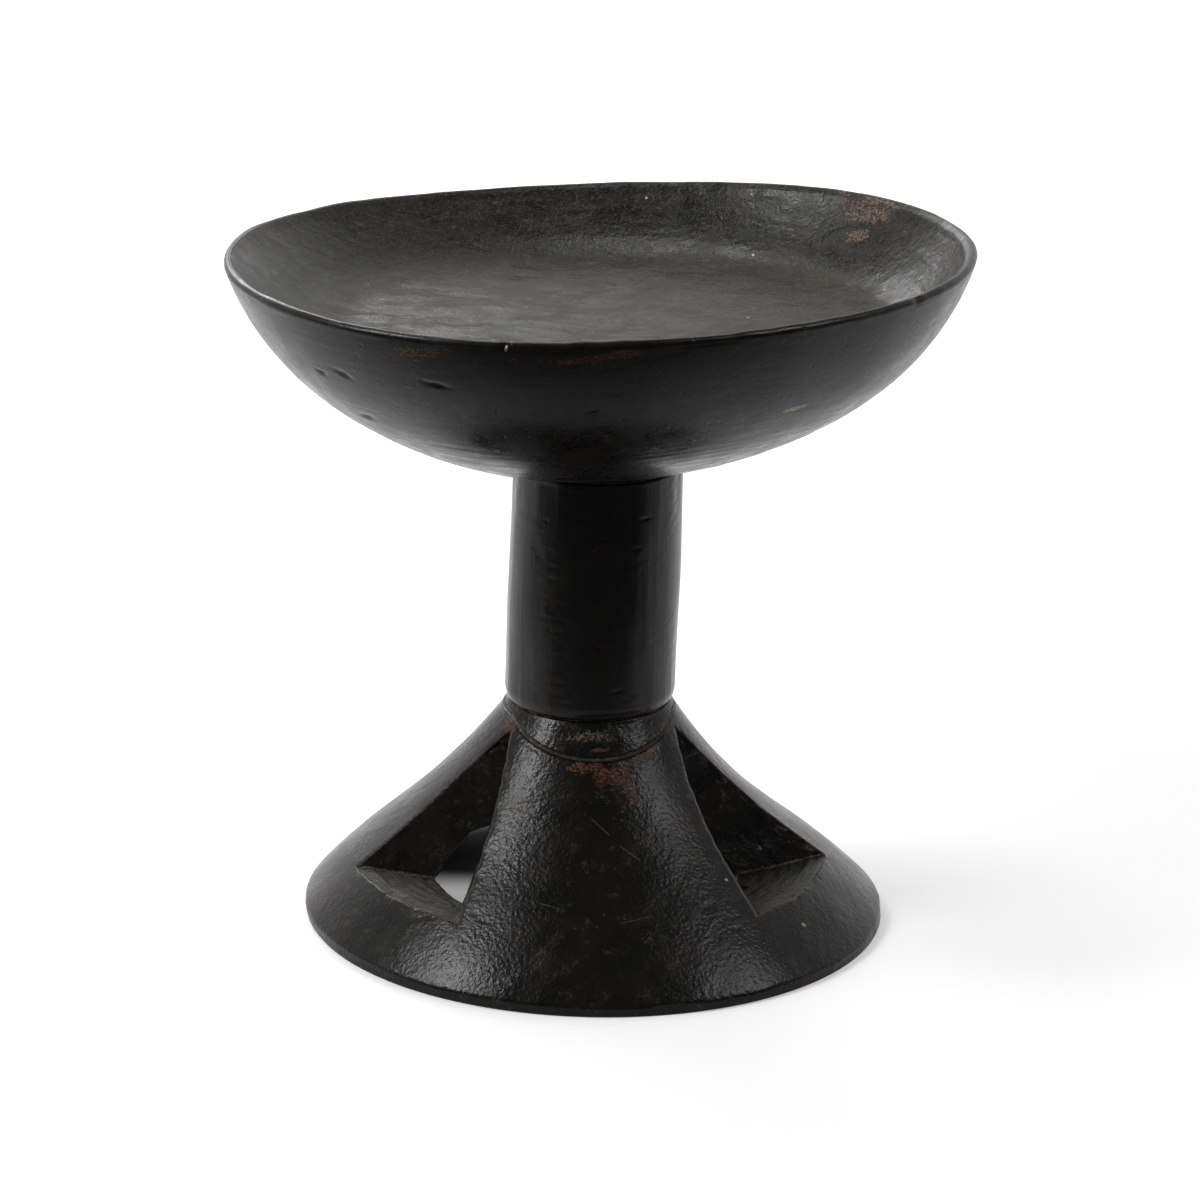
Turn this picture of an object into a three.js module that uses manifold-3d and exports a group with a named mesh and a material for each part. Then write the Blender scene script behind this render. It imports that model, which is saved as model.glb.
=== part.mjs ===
// A footed plate carved in dark hardwood: a deep round plate on an adzed stem and a hollow,
// pierced foot. Millimetres, +Z up, +X to the right and -Y to the front. The pieces are laid
// out round the axis of the foot. At the end the whole is moved so that the origin is the
// middle of its own footprint, on the surface that the plate stands on.

import * as THREE from 'three';
import { mergeVertices } from 'three/addons/utils/BufferGeometryUtils.js';
import Module from 'manifold-3d';

const wasm = await Module();
wasm.setup();

// Clearances, and the putty in the seams
const seatGap = 0.3;
const puttyThickness = 0.7;
const puttyBead = 0.5;

// Foot
const footRadius = 107;
const footEdgeHeight = 4;
const footRimWidth = 22;
const neckHeight = 83;
const footSway = 3.6;
const footSwayTurn = 135;
const footWaves = [{ order: 2, size: 0.0084, phase: 117 }];
const flareShape = [[0.316, 0.339], [0.612, 0.437]];
const hollowShape = [[0.487, 0.9], [0.54, 1]];
const hollowOval = 0.15;
const hollowTurn = -6;
const crownThickness = 8;

// Notches that pierce the foot: their azimuths run from the front towards +X
const notchAzimuths = [-54, 66, 186];
const notchLedgeHeight = 22.3;
const notchApexDrop = 7;
const notchDepth = 34;
const notchHalfAngle = 50;
const ledgeSlope = 0.06;

// Collar, with its slanted seat on the foot
const collarBackHeight = 2.9;
const slantHeight = 0.65;
const slantFrontSlope = 0.343;
const slantSideSlope = -0.034;

// Stem: its profile is a list of shares of its length, each with a share of its radius
const stemRadius = 31.5;
const stemLength = 89;
const stemToeInset = 1.6;
const stemToeBevel = 4;
const stemSwell = [[0.18, 1], [0.4, 1.0063], [0.62, 1], [0.85, 0.9873], [1, 0.981]];
const stemFacets = 14;
const facetFlatness = 0.9;
const facetUnevenness = 0.22;
const facetRhythm = 2.4;
const stemToeOffset = -2.6;
const stemHeadOffset = -0.5;
const tenonRadius = 16;
const lowerTenonLength = 21;
const upperTenonLength = 28;
const tenonChamfer = 1.5;

// Plate
const dishDepth = 75.9;
const rimRadius = 130.4;
const lipThickness = 4;
const dishInset = 0.8;
const dishShape = [[0.674, 0.171], [0.921, 0.667]];
const floorRadius = 97.5;
const floorDrop = 25.3;
const floorDip = 1.5;
const floorDish = [[0.8, 0.5], [0.4, 0.12]];
const floorTilt = 0.4;
const wallHandle = [0.36, 0.12];
const dishFootOffset = -2.4;
const dishOffset = -4.2;
const floorOffset = 3.2;
const rimWaves = [
  { order: 2, size: 0.0368, phase: 209 },
  { order: 3, size: 0.0307, phase: 302 },
];
const rimLifts = [
  { order: 1, size: 0.0316, phase: 69 },
  { order: 2, size: 0.0264, phase: 243 },
  { order: 3, size: 0.0099, phase: 47 },
];

// How finely the round forms are divided
const plateSides = 76;
const footSides = 72;
const ringSides = 42;
const flareSteps = 12;
const hollowSteps = 9;
const bowlSteps = 12;
const wallSteps = 5;
const lipSteps = 4;

// Heights and radii that follow from the sizes above
const seamHeight = 2 * seatGap + puttyThickness;
const stemToe = neckHeight + seamHeight;
const stemHead = stemToe + stemLength;
const dishBottom = stemHead + seamHeight;
const rimTop = dishBottom + dishDepth;
const neckRadius = stemRadius - stemToeInset;
const socketRadius = tenonRadius + seatGap;
const footSocketBottom = stemToe - lowerTenonLength - seatGap;
const dishSocketTop = stemHead + upperTenonLength + seatGap;
const crownHeight = footSocketBottom - crownThickness;
const notchApex = neckHeight - notchApexDrop;

const fullTurn = 2 * Math.PI;
const { clamp, degToRad: radians, lerp } = THREE.MathUtils;

// The sum of a list of waves round the axis, at an angle in radians. The sizes of the waves
// are shares of what they bend: the radius of the foot or the rim, or the depth of the plate.
function waveSum(waves, angle) {
  let sum = 0;
  for (const { order, size, phase } of waves) {
    sum += size * Math.cos(order * angle - radians(phase));
  }
  return sum;
}

// A curve between two points of a profile, whose two handles are shares of the way between them.
function profileCurve(start, end, handles, steps) {
  const at = ([alongR, alongZ]) => new THREE.Vector2(
    lerp(start.x, end.x, alongR),
    lerp(start.y, end.y, alongZ),
  );
  const [first, second] = handles;
  return new THREE.CubicBezierCurve(start, at(first), at(second), end).getPoints(steps);
}

// Turns a profile of (radius, height) points about the vertical axis. The angle of a point is
// its azimuth from the front. The warp gets each point's radius, azimuth, height and place in
// the profile, and returns where the carver left it.
function turned(profile, sides, warp) {
  const geometry = new THREE.LatheGeometry(profile, sides);
  const places = geometry.attributes.position;
  for (let index = 0; index < places.count; index += 1) {
    const station = index % profile.length;
    const side = Math.floor(index / profile.length) % sides;
    const azimuth = side * fullTurn / sides;
    const { x: radius, y: height } = profile[station];
    const [newRadius, newAzimuth, newHeight, shiftX] = warp(radius, azimuth, height, station);
    places.setXYZ(
      index,
      shiftX + newRadius * Math.sin(newAzimuth),
      -newRadius * Math.cos(newAzimuth),
      newHeight,
    );
  }
  return geometry;
}

const shiftedTo = (centreX) => (radius, azimuth, height) => [radius, azimuth, height, centreX];

// A closed mesh as a solid that can be joined and cut. Triangles that shrink to a line where
// a profile meets the axis are left out.
function toSolid(geometry) {
  const bare = geometry.clone();
  bare.deleteAttribute('normal');
  bare.deleteAttribute('uv');
  const merged = mergeVertices(bare, 1e-4);
  const index = merged.index.array;
  const kept = [];
  for (let at = 0; at < index.length; at += 3) {
    const [a, b, c] = index.slice(at, at + 3);
    if (a !== b && b !== c && c !== a) {
      kept.push(a, b, c);
    }
  }
  return new wasm.Manifold(new wasm.Mesh({
    numProp: 3,
    vertProperties: Float32Array.from(merged.attributes.position.array),
    triVerts: Uint32Array.from(kept),
  }));
}

function toGeometry(solid) {
  const mesh = solid.getMesh();
  const geometry = new THREE.BufferGeometry();
  geometry.setAttribute('position', new THREE.BufferAttribute(mesh.vertProperties, 3));
  geometry.setIndex(new THREE.BufferAttribute(mesh.triVerts, 1));
  return geometry;
}

// Moves every point of a geometry by a function of its own place.
function bent(geometry, move) {
  const places = geometry.attributes.position;
  const point = new THREE.Vector3();
  for (let index = 0; index < places.count; index += 1) {
    point.fromBufferAttribute(places, index);
    move(point);
    places.setXYZ(index, point.x, point.y, point.z);
  }
  return geometry;
}

// An upright round plug from one height to another, for the sockets of the tenons.
function plug(bottom, top, centreX) {
  const profile = [
    new THREE.Vector2(0, bottom),
    new THREE.Vector2(socketRadius, bottom),
    new THREE.Vector2(socketRadius, top),
    new THREE.Vector2(0, top),
  ];
  return toSolid(turned(profile, ringSides, shiftedTo(centreX)));
}

// The room above a sloping plane that crosses the axis at the given height.
function roomAbove(height, slopeX, slopeY) {
  const size = 4 * footRadius;
  const block = new THREE.BoxGeometry(size, size, size);
  block.translate(0, 0, size / 2 + height);
  return toSolid(bent(block, (point) => {
    point.z += slopeX * point.x + slopeY * point.y;
  }));
}

// The flare of the foot, from the top of its upright edge to the neck.
function flareProfile(grow) {
  const edge = new THREE.Vector2(footRadius + grow, footEdgeHeight);
  const neck = new THREE.Vector2(neckRadius + grow, neckHeight);
  return profileCurve(edge, neck, flareShape, flareSteps);
}

// Hand carving leaves the foot a little oval at its base, and its axis bowed to the left.
function carveFoot(point) {
  const share = clamp(point.z / neckHeight, 0, 1);
  const azimuth = Math.atan2(point.x, -point.y);
  const swell = 1 + (1 - share) * waveSum(footWaves, azimuth);
  point.x = point.x * swell - footSway * Math.sin(share * radians(footSwayTurn));
  point.y *= swell;
}

// One notch: a stack of three-cornered sections. Each section's inner corner lies on the
// valley, which sinks evenly below the flare from nothing at the apex, and its two cheeks open
// outwards from there. The floor of the notch is the ledge.
function notch(azimuth) {
  const spread = Math.tan(radians(notchHalfAngle));
  const reach = 1.3 * footRadius;
  const corners = [];
  for (const { x: skin, y: height } of flareProfile(0)) {
    const sink = notchDepth * (notchApex - height) / (notchApex - notchLedgeHeight);
    const valley = skin - sink;
    const half = (reach - valley) * spread;
    corners.push(valley, 0, height, reach, half, height, reach, -half, height);
  }
  const last = corners.length / 3 - 3;
  const faces = [0, 1, 2, last, last + 2, last + 1];
  for (let base = 0; base < last; base += 3) {
    for (let corner = 0; corner < 3; corner += 1) {
      const next = (corner + 1) % 3;
      faces.push(base + corner, base + next + 3, base + next);
      faces.push(base + corner, base + corner + 3, base + next + 3);
    }
  }
  const wedge = new THREE.BufferGeometry();
  wedge.setAttribute('position', new THREE.Float32BufferAttribute(corners, 3));
  wedge.setIndex(faces);
  const ledgeReach = footRadius - notchLedgeHeight;
  const ledge = roomAbove(notchLedgeHeight - ledgeSlope * ledgeReach, ledgeSlope, 0);
  const cutter = toGeometry(toSolid(wedge).intersect(ledge));
  return toSolid(cutter.rotateZ(radians(azimuth - 90)));
}

// The seat of the collar: a slant that drops to the front, held level at the back. This is
// the room above that seat, lifted by a given height.
function roomAboveSeat(lift) {
  const slant = roomAbove(neckHeight + slantHeight + lift, slantSideSlope, slantFrontSlope);
  const level = roomAbove(neckHeight - collarBackHeight + lift, 0, 0);
  return slant.add(level);
}

// The foot's flare as a whole plug of wood, grown outwards by a bead for the putty.
function neckBlock(grow) {
  const bottom = new THREE.Vector2(0, footEdgeHeight);
  const top = new THREE.Vector2(0, neckHeight);
  const block = turned([bottom, ...flareProfile(grow), top], footSides, shiftedTo(0));
  return toSolid(bent(block, carveFoot));
}

// The hollow under the foot is oval, and longest from the front to the back.
function makeFoot() {
  const crown = new THREE.Vector2(0, crownHeight);
  const rim = new THREE.Vector2(footRadius - footRimWidth, 0);
  const hollow = profileCurve(rim, crown, hollowShape, hollowSteps).reverse();
  const profile = [
    ...hollow,
    new THREE.Vector2(footRadius, 0),
    ...flareProfile(0),
    new THREE.Vector2(0, neckHeight),
  ];
  let body = toSolid(turned(profile, footSides, (radius, azimuth, height, station) => {
    const oval = station < hollow.length
      ? hollowOval * Math.cos(2 * (azimuth - radians(hollowTurn)))
      : 0;
    return [radius * (1 + oval), azimuth, height, 0];
  }));
  for (const azimuth of notchAzimuths) {
    body = body.subtract(notch(azimuth));
  }
  const carved = toSolid(bent(toGeometry(body), carveFoot));
  const socket = plug(footSocketBottom, stemHead, stemToeOffset);
  return toGeometry(carved.subtract(roomAboveSeat(0)).subtract(socket));
}

const collarBore = plug(crownHeight, stemHead, stemToeOffset);

function makeCollar() {
  return toGeometry(neckBlock(0).intersect(roomAboveSeat(seamHeight)).subtract(collarBore));
}

function makeCollarPutty() {
  const film = roomAboveSeat(seatGap).subtract(roomAboveSeat(seatGap + puttyThickness));
  return toGeometry(neckBlock(puttyBead).intersect(film).subtract(collarBore));
}

// A thin ring of putty round a tenon, with a soft bead at its outer edge.
function puttyRing(outerRadius, bottom, centreX) {
  const half = puttyThickness / 2;
  const profile = [
    new THREE.Vector2(socketRadius, bottom),
    new THREE.Vector2(outerRadius - half, bottom),
    new THREE.Vector2(outerRadius, bottom + half),
    new THREE.Vector2(outerRadius - half, bottom + puttyThickness),
    new THREE.Vector2(socketRadius, bottom + puttyThickness),
    new THREE.Vector2(socketRadius, bottom),
  ];
  return turned(profile, ringSides, shiftedTo(centreX));
}

// The edges between the stem's facets, unevenly spaced as an adze leaves them.
function facetEdge(count) {
  const width = fullTurn / stemFacets;
  const wander = Math.sin(facetRhythm * (count % stemFacets));
  return width * (count + facetUnevenness * wander);
}

// Draws a point of a round section in towards the flat between the two edges of its facet.
function facetted(radius, azimuth) {
  const place = azimuth / fullTurn * stemFacets;
  const facet = Math.floor(place + 1e-6);
  const start = facetEdge(facet);
  const end = facetEdge(facet + 1);
  const angle = lerp(start, end, place - facet);
  const flat = Math.cos((end - start) / 2) / Math.cos(angle - (start + end) / 2);
  return { radius: radius * lerp(1, flat, facetFlatness), azimuth: angle };
}

function makeStem() {
  const toeRadius = stemRadius - stemToeInset;
  const lowerEnd = stemToe - lowerTenonLength;
  const upperEnd = stemHead + upperTenonLength;
  const profile = [
    [0, lowerEnd],
    [tenonRadius - tenonChamfer, lowerEnd],
    [tenonRadius, lowerEnd + tenonChamfer],
    [tenonRadius, stemToe],
    [toeRadius, stemToe],
    [lerp(toeRadius, stemRadius, 0.8), stemToe + stemToeBevel],
    ...stemSwell.map(([share, swell]) => [stemRadius * swell, stemToe + share * stemLength]),
    [tenonRadius, stemHead],
    [tenonRadius, upperEnd - tenonChamfer],
    [tenonRadius - tenonChamfer, upperEnd],
    [0, upperEnd],
  ].map(([radius, height]) => new THREE.Vector2(radius, height));
  return turned(profile, ringSides, (radius, azimuth, height) => {
    const share = clamp((height - stemToe) / stemLength, 0, 1);
    const shift = lerp(stemToeOffset, stemHeadOffset, share);
    if (radius <= tenonRadius) {
      return [radius, azimuth, height, shift];
    }
    const cut = facetted(radius, azimuth);
    return [cut.radius, cut.azimuth, height, shift];
  });
}

// The plate's lip: a half circle from the outside, over the top and down to the inside.
function lipProfile() {
  const half = lipThickness / 2;
  const points = [];
  for (let step = 1; step <= lipSteps; step += 1) {
    const turn = Math.PI * step / lipSteps;
    const radius = rimRadius - half + half * Math.cos(turn);
    points.push(new THREE.Vector2(radius, rimTop - half + half * Math.sin(turn)));
  }
  return points;
}

function wallProfile(wallTop) {
  const foot = new THREE.Vector2(floorRadius, rimTop - floorDrop);
  const bend = new THREE.Vector2(
    lerp(foot.x, wallTop.x, wallHandle[0]),
    lerp(foot.y, wallTop.y, wallHandle[1]),
  );
  return new THREE.QuadraticBezierCurve(wallTop, bend, foot).getPoints(wallSteps).slice(1);
}

// The outside leans from the head of the stem to the rim, and the floor lies a little to the
// right of the rim's centre, so the wall is broader on the left.
function makeDish() {
  const bottomRadius = stemRadius * stemSwell[stemSwell.length - 1][1] - dishInset;
  const outside = profileCurve(
    new THREE.Vector2(bottomRadius, dishBottom),
    new THREE.Vector2(rimRadius, rimTop - lipThickness / 2),
    dishShape,
    bowlSteps,
  );
  const lip = lipProfile();
  const wallTop = lip[lip.length - 1];
  const wall = wallProfile(wallTop);
  const floorEdge = wall[wall.length - 1];
  const centre = floorEdge.y - floorDip;
  const profile = [
    new THREE.Vector2(0, dishBottom),
    ...outside,
    ...lip,
    ...wall,
    ...floorDish.map(([out, up]) => new THREE.Vector2(
      floorRadius * out,
      lerp(centre, floorEdge.y, up),
    )),
    new THREE.Vector2(0, centre),
  ];
  const outsideCount = 1 + outside.length + lip.length;
  const shell = turned(profile, plateSides, (radius, azimuth, height, station) => {
    const share = clamp((height - dishBottom) / dishDepth, 0, 1);
    const swell = 1 + waveSum(rimWaves, azimuth);
    const lift = dishDepth * share * share * waveSum(rimLifts, azimuth);
    if (station < outsideCount) {
      return [radius * swell, azimuth, height + lift, lerp(dishFootOffset, dishOffset, share)];
    }
    const toFloor = clamp((wallTop.x - radius) / (wallTop.x - floorRadius), 0, 1);
    const settled = lift * lerp(1, floorTilt, toFloor) * Math.min(1, radius / floorRadius);
    return [radius * swell, azimuth, height + settled, lerp(dishOffset, floorOffset, toFloor)];
  });
  return toGeometry(toSolid(shell).subtract(plug(stemHead, dishSocketTop, stemHeadOffset)));
}

function piece(name, geometry, color, roughness) {
  const material = new THREE.MeshStandardMaterial({ color, roughness, metalness: 0 });
  const mesh = new THREE.Mesh(geometry, material);
  mesh.name = name;
  return mesh;
}

const upperPutty = puttyRing(stemRadius, stemHead + seatGap, stemHeadOffset);
const lowerPutty = puttyRing(neckRadius, neckHeight + seatGap, stemToeOffset);

const plate = new THREE.Group();
plate.add(piece('dish', makeDish(), 0x23211e, 0.42));
plate.add(piece('stem', makeStem(), 0x1b1a18, 0.38));
plate.add(piece('collar', makeCollar(), 0x262019, 0.5));
plate.add(piece('foot', makeFoot(), 0x1f1d1a, 0.4));
plate.add(piece('upper_seam_putty', upperPutty, 0x3a3128, 0.8));
plate.add(piece('lower_seam_putty', lowerPutty, 0x51463a, 0.85));
plate.add(piece('collar_seam_putty', makeCollarPutty(), 0x2a2119, 0.8));

// The origin goes to the middle of the whole, at the height of the foot's base.
const extent = new THREE.Box3().setFromObject(plate);
const middle = extent.getCenter(new THREE.Vector3());
plate.position.set(-middle.x, -middle.y, -extent.min.z);

export default plate;
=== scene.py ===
# %% [markdown]
# # A footed plate carved in dark hardwood
#
# The real thing is a deep round plate on a stout adzed stem and a flared, hollow foot that
# three triangular notches pierce. It is black with handling, oil and smoke, glossy where hands
# have polished it, and brown where that skin has worn through.
#
# This file dresses the CAD model of the plate. The CAD model is loaded first and never moved.
# Each piece below is a finer mesh made from the same measures, so it sits exactly where the
# CAD solid of the same name sits, with the marks of the adze and the knife added.

# %% Load the frame
import itertools
import math
from functools import partialmethod, reduce

import bpy
import numpy as np
from mathutils import Matrix, Vector


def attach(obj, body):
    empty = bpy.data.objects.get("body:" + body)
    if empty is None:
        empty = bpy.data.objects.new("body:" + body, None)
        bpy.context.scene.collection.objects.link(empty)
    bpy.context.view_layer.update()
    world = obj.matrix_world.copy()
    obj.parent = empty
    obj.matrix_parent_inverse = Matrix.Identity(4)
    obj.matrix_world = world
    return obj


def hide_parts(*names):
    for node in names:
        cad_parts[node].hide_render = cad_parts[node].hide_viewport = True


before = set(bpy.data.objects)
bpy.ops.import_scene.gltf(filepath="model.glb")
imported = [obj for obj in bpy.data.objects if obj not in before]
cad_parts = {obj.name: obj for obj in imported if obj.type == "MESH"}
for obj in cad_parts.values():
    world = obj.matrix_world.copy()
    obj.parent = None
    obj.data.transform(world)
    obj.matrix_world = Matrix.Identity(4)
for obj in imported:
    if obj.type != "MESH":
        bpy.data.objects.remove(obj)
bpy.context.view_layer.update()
print("CAD nodes:", ", ".join(sorted(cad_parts)))

# %% [markdown]
# ## Measures
#
# A carver thinks in radii and heights. These are the same ones that the CAD model is made
# from, in millimetres, round the axis of the foot. Keeping them in one place means that two
# pieces that meet always agree on where they meet.

# %% Measures in millimetres
MM = 0.001
ORIGIN = np.array([0.623, 2.431, 0.0])    # where the foot's axis stands in the CAD frame

FOOT_RADIUS, FOOT_EDGE, RIM_WIDTH = 107.0, 4.0, 22.0
NECK_HEIGHT, NECK_RADIUS = 83.0, 29.9
CROWN_HEIGHT = 55.0
SOCKET_RADIUS, SOCKET_BOTTOM = 16.3, 63.0
NOTCHES = np.radians([-54.0, 66.0, 186.0])
THIRD_TURN = 2 * math.pi / 3
NOTCH_LEDGE, NOTCH_APEX, NOTCH_DEPTH = 22.3, 76.0, 34.0
CHEEK = 1 / math.tan(math.radians(50.0))
STEM_TOE, STEM_HEAD, STEM_RADIUS = 84.3, 173.3, 31.5
TOE_SHIFT, HEAD_SHIFT = -2.6, -0.5    # of the stem's two ends off the axis, towards +X
TENON_RADIUS, TENON_CHAMFER, TENON_ENDS = 16.0, 1.5, (63.3, 201.3)
DISH_BOTTOM, RIM_TOP, RIM_RADIUS = 174.6, 250.5, 130.4
DISH_SOCKET_TOP = 201.6
FLOOR_RADIUS, FLOOR_DROP, FLOOR_DIP = 97.5, 25.3, 1.5
SEAM, SEAM_PUTTY = 1.3, (0.3, 1.0)    # a seam's height, and its putty's lower and upper face


def waves(terms, azimuth):
    """The sum of waves round the axis; each term is (order, size, phase in degrees)."""
    return sum(s * np.cos(n * azimuth - math.radians(p)) for n, s, p in terms)


def curve_between(start, end, handles, count):
    """Points of a Bezier curve whose two handles are shares of the way from start to end."""
    start, end = np.array(start, float), np.array(end, float)
    first, second = (start + (end - start) * np.array(h) for h in handles)
    t = np.linspace(0, 1, count)[:, None]
    return ((1 - t) ** 3 * start + 3 * (1 - t) ** 2 * t * first
            + 3 * (1 - t) * t ** 2 * second + t ** 3 * end)


def smooth(edge0, edge1, value):
    """0 before edge0, 1 after edge1, and a soft step between them."""
    t = np.clip((value - edge0) / (edge1 - edge0), 0, 1)
    return t * t * (3 - 2 * t)


def mix(a, b, share):
    return a + (b - a) * share


print(f"The plate is {2 * RIM_RADIUS:.0f} mm across and {RIM_TOP:.0f} mm tall")

# %% [markdown]
# ## Noise for hand work
#
# Nothing that is carved by hand is even. Two kinds of noise are enough here. Value noise is a
# soft rolling unevenness, made by blending random heights on a lattice. Cell noise gives each
# spot its distance to scattered points, which is just the form of an adzed surface: one
# shallow scoop beside the next, with a ridge between. Both come from a fixed table, so the
# plate is the same each time.

# %% Noise helpers
TABLE_SIZE = 4096
table_maker = np.random.default_rng(27)
LATTICE = table_maker.uniform(-1, 1, TABLE_SIZE)
SHUFFLE = table_maker.permutation(TABLE_SIZE)


def lattice_value(cells, salt=0):
    """A fixed random number from -1 to 1 for each row of whole numbers."""
    mixed = np.full(len(cells), salt, int)
    for axis in range(cells.shape[1]):
        mixed = SHUFFLE[(mixed + cells[:, axis]) & (TABLE_SIZE - 1)]
    return LATTICE[mixed]


def rolling(points, size, salt=0):
    """Value noise from -1 to 1, about size across; size may differ by axis."""
    spot = points / np.asarray(size, float)
    cell = np.floor(spot).astype(int)
    part = spot - cell
    part = part * part * (3 - 2 * part)
    total = np.zeros(len(points))
    for corner in itertools.product((0, 1), repeat=points.shape[1]):
        near = np.where(corner, part, 1 - part).prod(1)
        total += near * lattice_value(cell + corner, salt)
    return total


def scoops(points, size, salt=0):
    """For each 2-D point, 0 in the middle of a scoop and 1 at the ridges round it."""
    spot = points / np.asarray(size, float)
    cell = np.floor(spot).astype(int)
    nearest = np.ones(len(points))
    for step in itertools.product((-1, 0, 1), repeat=2):
        there = cell + step
        jitter = np.stack([lattice_value(there, salt), lattice_value(there, salt + 77)], 1)
        away = np.linalg.norm(there + 0.5 + 0.42 * jitter - spot, axis=1)
        nearest = np.minimum(nearest, away)
    return nearest ** 2


print("Noise of one spot:", round(float(rolling(np.zeros((1, 3)) + 0.4, 1.0)[0]), 3))

# %% [markdown]
# ## Turning a section into a mesh
#
# The plate isn't turned on a lathe, yet it is laid out round an axis. So each piece is made as
# a closed section that runs from the axis and back to it, repeated at many azimuths round the
# piece, with every point then pushed to where the carver left it. A grid of points like this
# keeps its lines along the edges of the real form, which a remesh would wear away.

# %% Mesh helpers
def at_azimuth(radius, azimuth, height, shift=0.0):
    """Points from a radius, an azimuth from the front towards +X, and a height."""
    radius, azimuth, height, shift = np.broadcast_arrays(radius, azimuth, height, shift)
    return np.stack([shift + radius * np.sin(azimuth), -radius * np.cos(azimuth), height], -1)


def grid_faces(rows, columns):
    """Quads of a grid whose columns close into a ring."""
    index = np.arange(rows * columns).reshape(rows, columns)
    after = np.roll(index, -1, axis=1)
    return np.stack([index[:-1], after[:-1], after[1:], index[1:]], -1)


def mark_rows(grid, start, end=None):
    """1 for the points in the grid's rows from start to end, and 0 for the others."""
    mark = np.zeros(grid.shape[:2])
    mark[start:end] = 1
    return mark


def mesh_piece(name, grid, marks, keep=slice(None)):
    """A mesh object in the CAD frame, made of the grid's faces that keep picks out. Points that
    coincide become one. Marks are numbers kept for each point, which the materials read."""
    points = grid.reshape(-1, 3)
    faces = grid_faces(*grid.shape[:2])[keep].reshape(-1, 4)
    keys = np.round(points / 1e-5).astype(np.int64)
    _, first, back = np.unique(keys, axis=0, return_index=True, return_inverse=True)
    quads = (list(dict.fromkeys(corners)) for corners in back.ravel()[faces].tolist())
    mesh = bpy.data.meshes.new(name)
    mesh.from_pydata(((points[first] + ORIGIN) * MM).tolist(), [],
                     [corners for corners in quads if len(corners) > 2])
    for mark, values in marks.items():
        layer = mesh.attributes.new(mark, "FLOAT", "POINT")
        layer.data.foreach_set("value", np.asarray(values, np.float32).ravel()[first])
    mesh.polygons.foreach_set("use_smooth", np.ones(len(mesh.polygons), bool))
    mesh.update()
    piece = bpy.data.objects.new(name, mesh)
    bpy.context.scene.collection.objects.link(piece)
    print(f"{name}: {len(mesh.vertices)} points, {len(mesh.polygons)} faces")
    return piece


def read_points(piece):
    """The piece's points and normals, in millimetres round the axis of the foot."""
    mesh = piece.data
    places = np.zeros(len(mesh.vertices) * 3, np.float32)
    normals = np.zeros(len(mesh.vertices) * 3, np.float32)
    mesh.vertices.foreach_get("co", places)
    mesh.vertex_normals.foreach_get("vector", normals)
    return places.reshape(-1, 3).astype(float) / MM - ORIGIN, normals.reshape(-1, 3).astype(float)


def read_mark(piece, mark):
    values = np.zeros(len(piece.data.vertices), np.float32)
    piece.data.attributes[mark].data.foreach_get("value", values)
    return values.astype(float)


def push(piece, depth):
    """Moves each point along its normal by a depth in millimetres."""
    places, normals = read_points(piece)
    moved = places + normals * np.asarray(depth)[:, None]
    piece.data.vertices.foreach_set("co", ((moved + ORIGIN) * MM).astype(np.float32).ravel())
    piece.data.update()
    print(f"{piece.name}: pushed by {depth.min():.2f} to {depth.max():.2f} mm")


def join_up(piece, node):
    """The piece stands for the CAD node, whose own mesh is hidden, and rides on the body."""
    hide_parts(node)
    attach(piece, "root")


# %% [markdown]
# ## The deep plate
#
# The plate was hollowed with an adze and smoothed with a scraper. Its rim is a soft triangle
# more than a circle, and it dips and rises as it goes round. The section starts in the socket
# of the stem, runs out under the bowl, over the lip, down the broad inner wall and across the
# floor to the middle.

# %% Dish
DISH_COLUMNS = 760
RIM_WAVES = [(2, 0.0368, 209), (3, 0.0307, 302)]
RIM_LIFTS = [(1, 0.0316, 69), (2, 0.0264, 243), (3, 0.0099, 47)]
BOWL_SHIFT, RIM_SHIFT, FLOOR_SHIFT = -2.4, -4.2, 3.2    # off the foot's axis, towards +X
BOWL_FOOT_RADIUS = 30.1
DISH_DEPTH = RIM_TOP - DISH_BOTTOM
LIP_ROUND = 2.0
LIP_WIDTH = 2 * LIP_ROUND
LIP_TURN, FLOOR_TURN = 2.4, 9.0    # half widths of the soft turns below the lip and at the floor
LIP_BLEED = 9    # rows over which the grey of the inside runs onto the lip


def soften(section, corner, reach):
    """Rounds a corner of the section, as a scraper does, by averaging along its length."""
    step = np.linalg.norm(np.diff(section, axis=0), axis=1)
    along = np.concatenate([[0], np.cumsum(step)])
    moved = [[np.interp(along + away, along, side) for side in section.T]
             for away in np.linspace(-reach, reach, 21)]
    near = smooth(2.0 * reach, reach, np.abs(along - along[corner]))
    return mix(section, np.mean(moved, 0).T, near[:, None])


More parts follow.
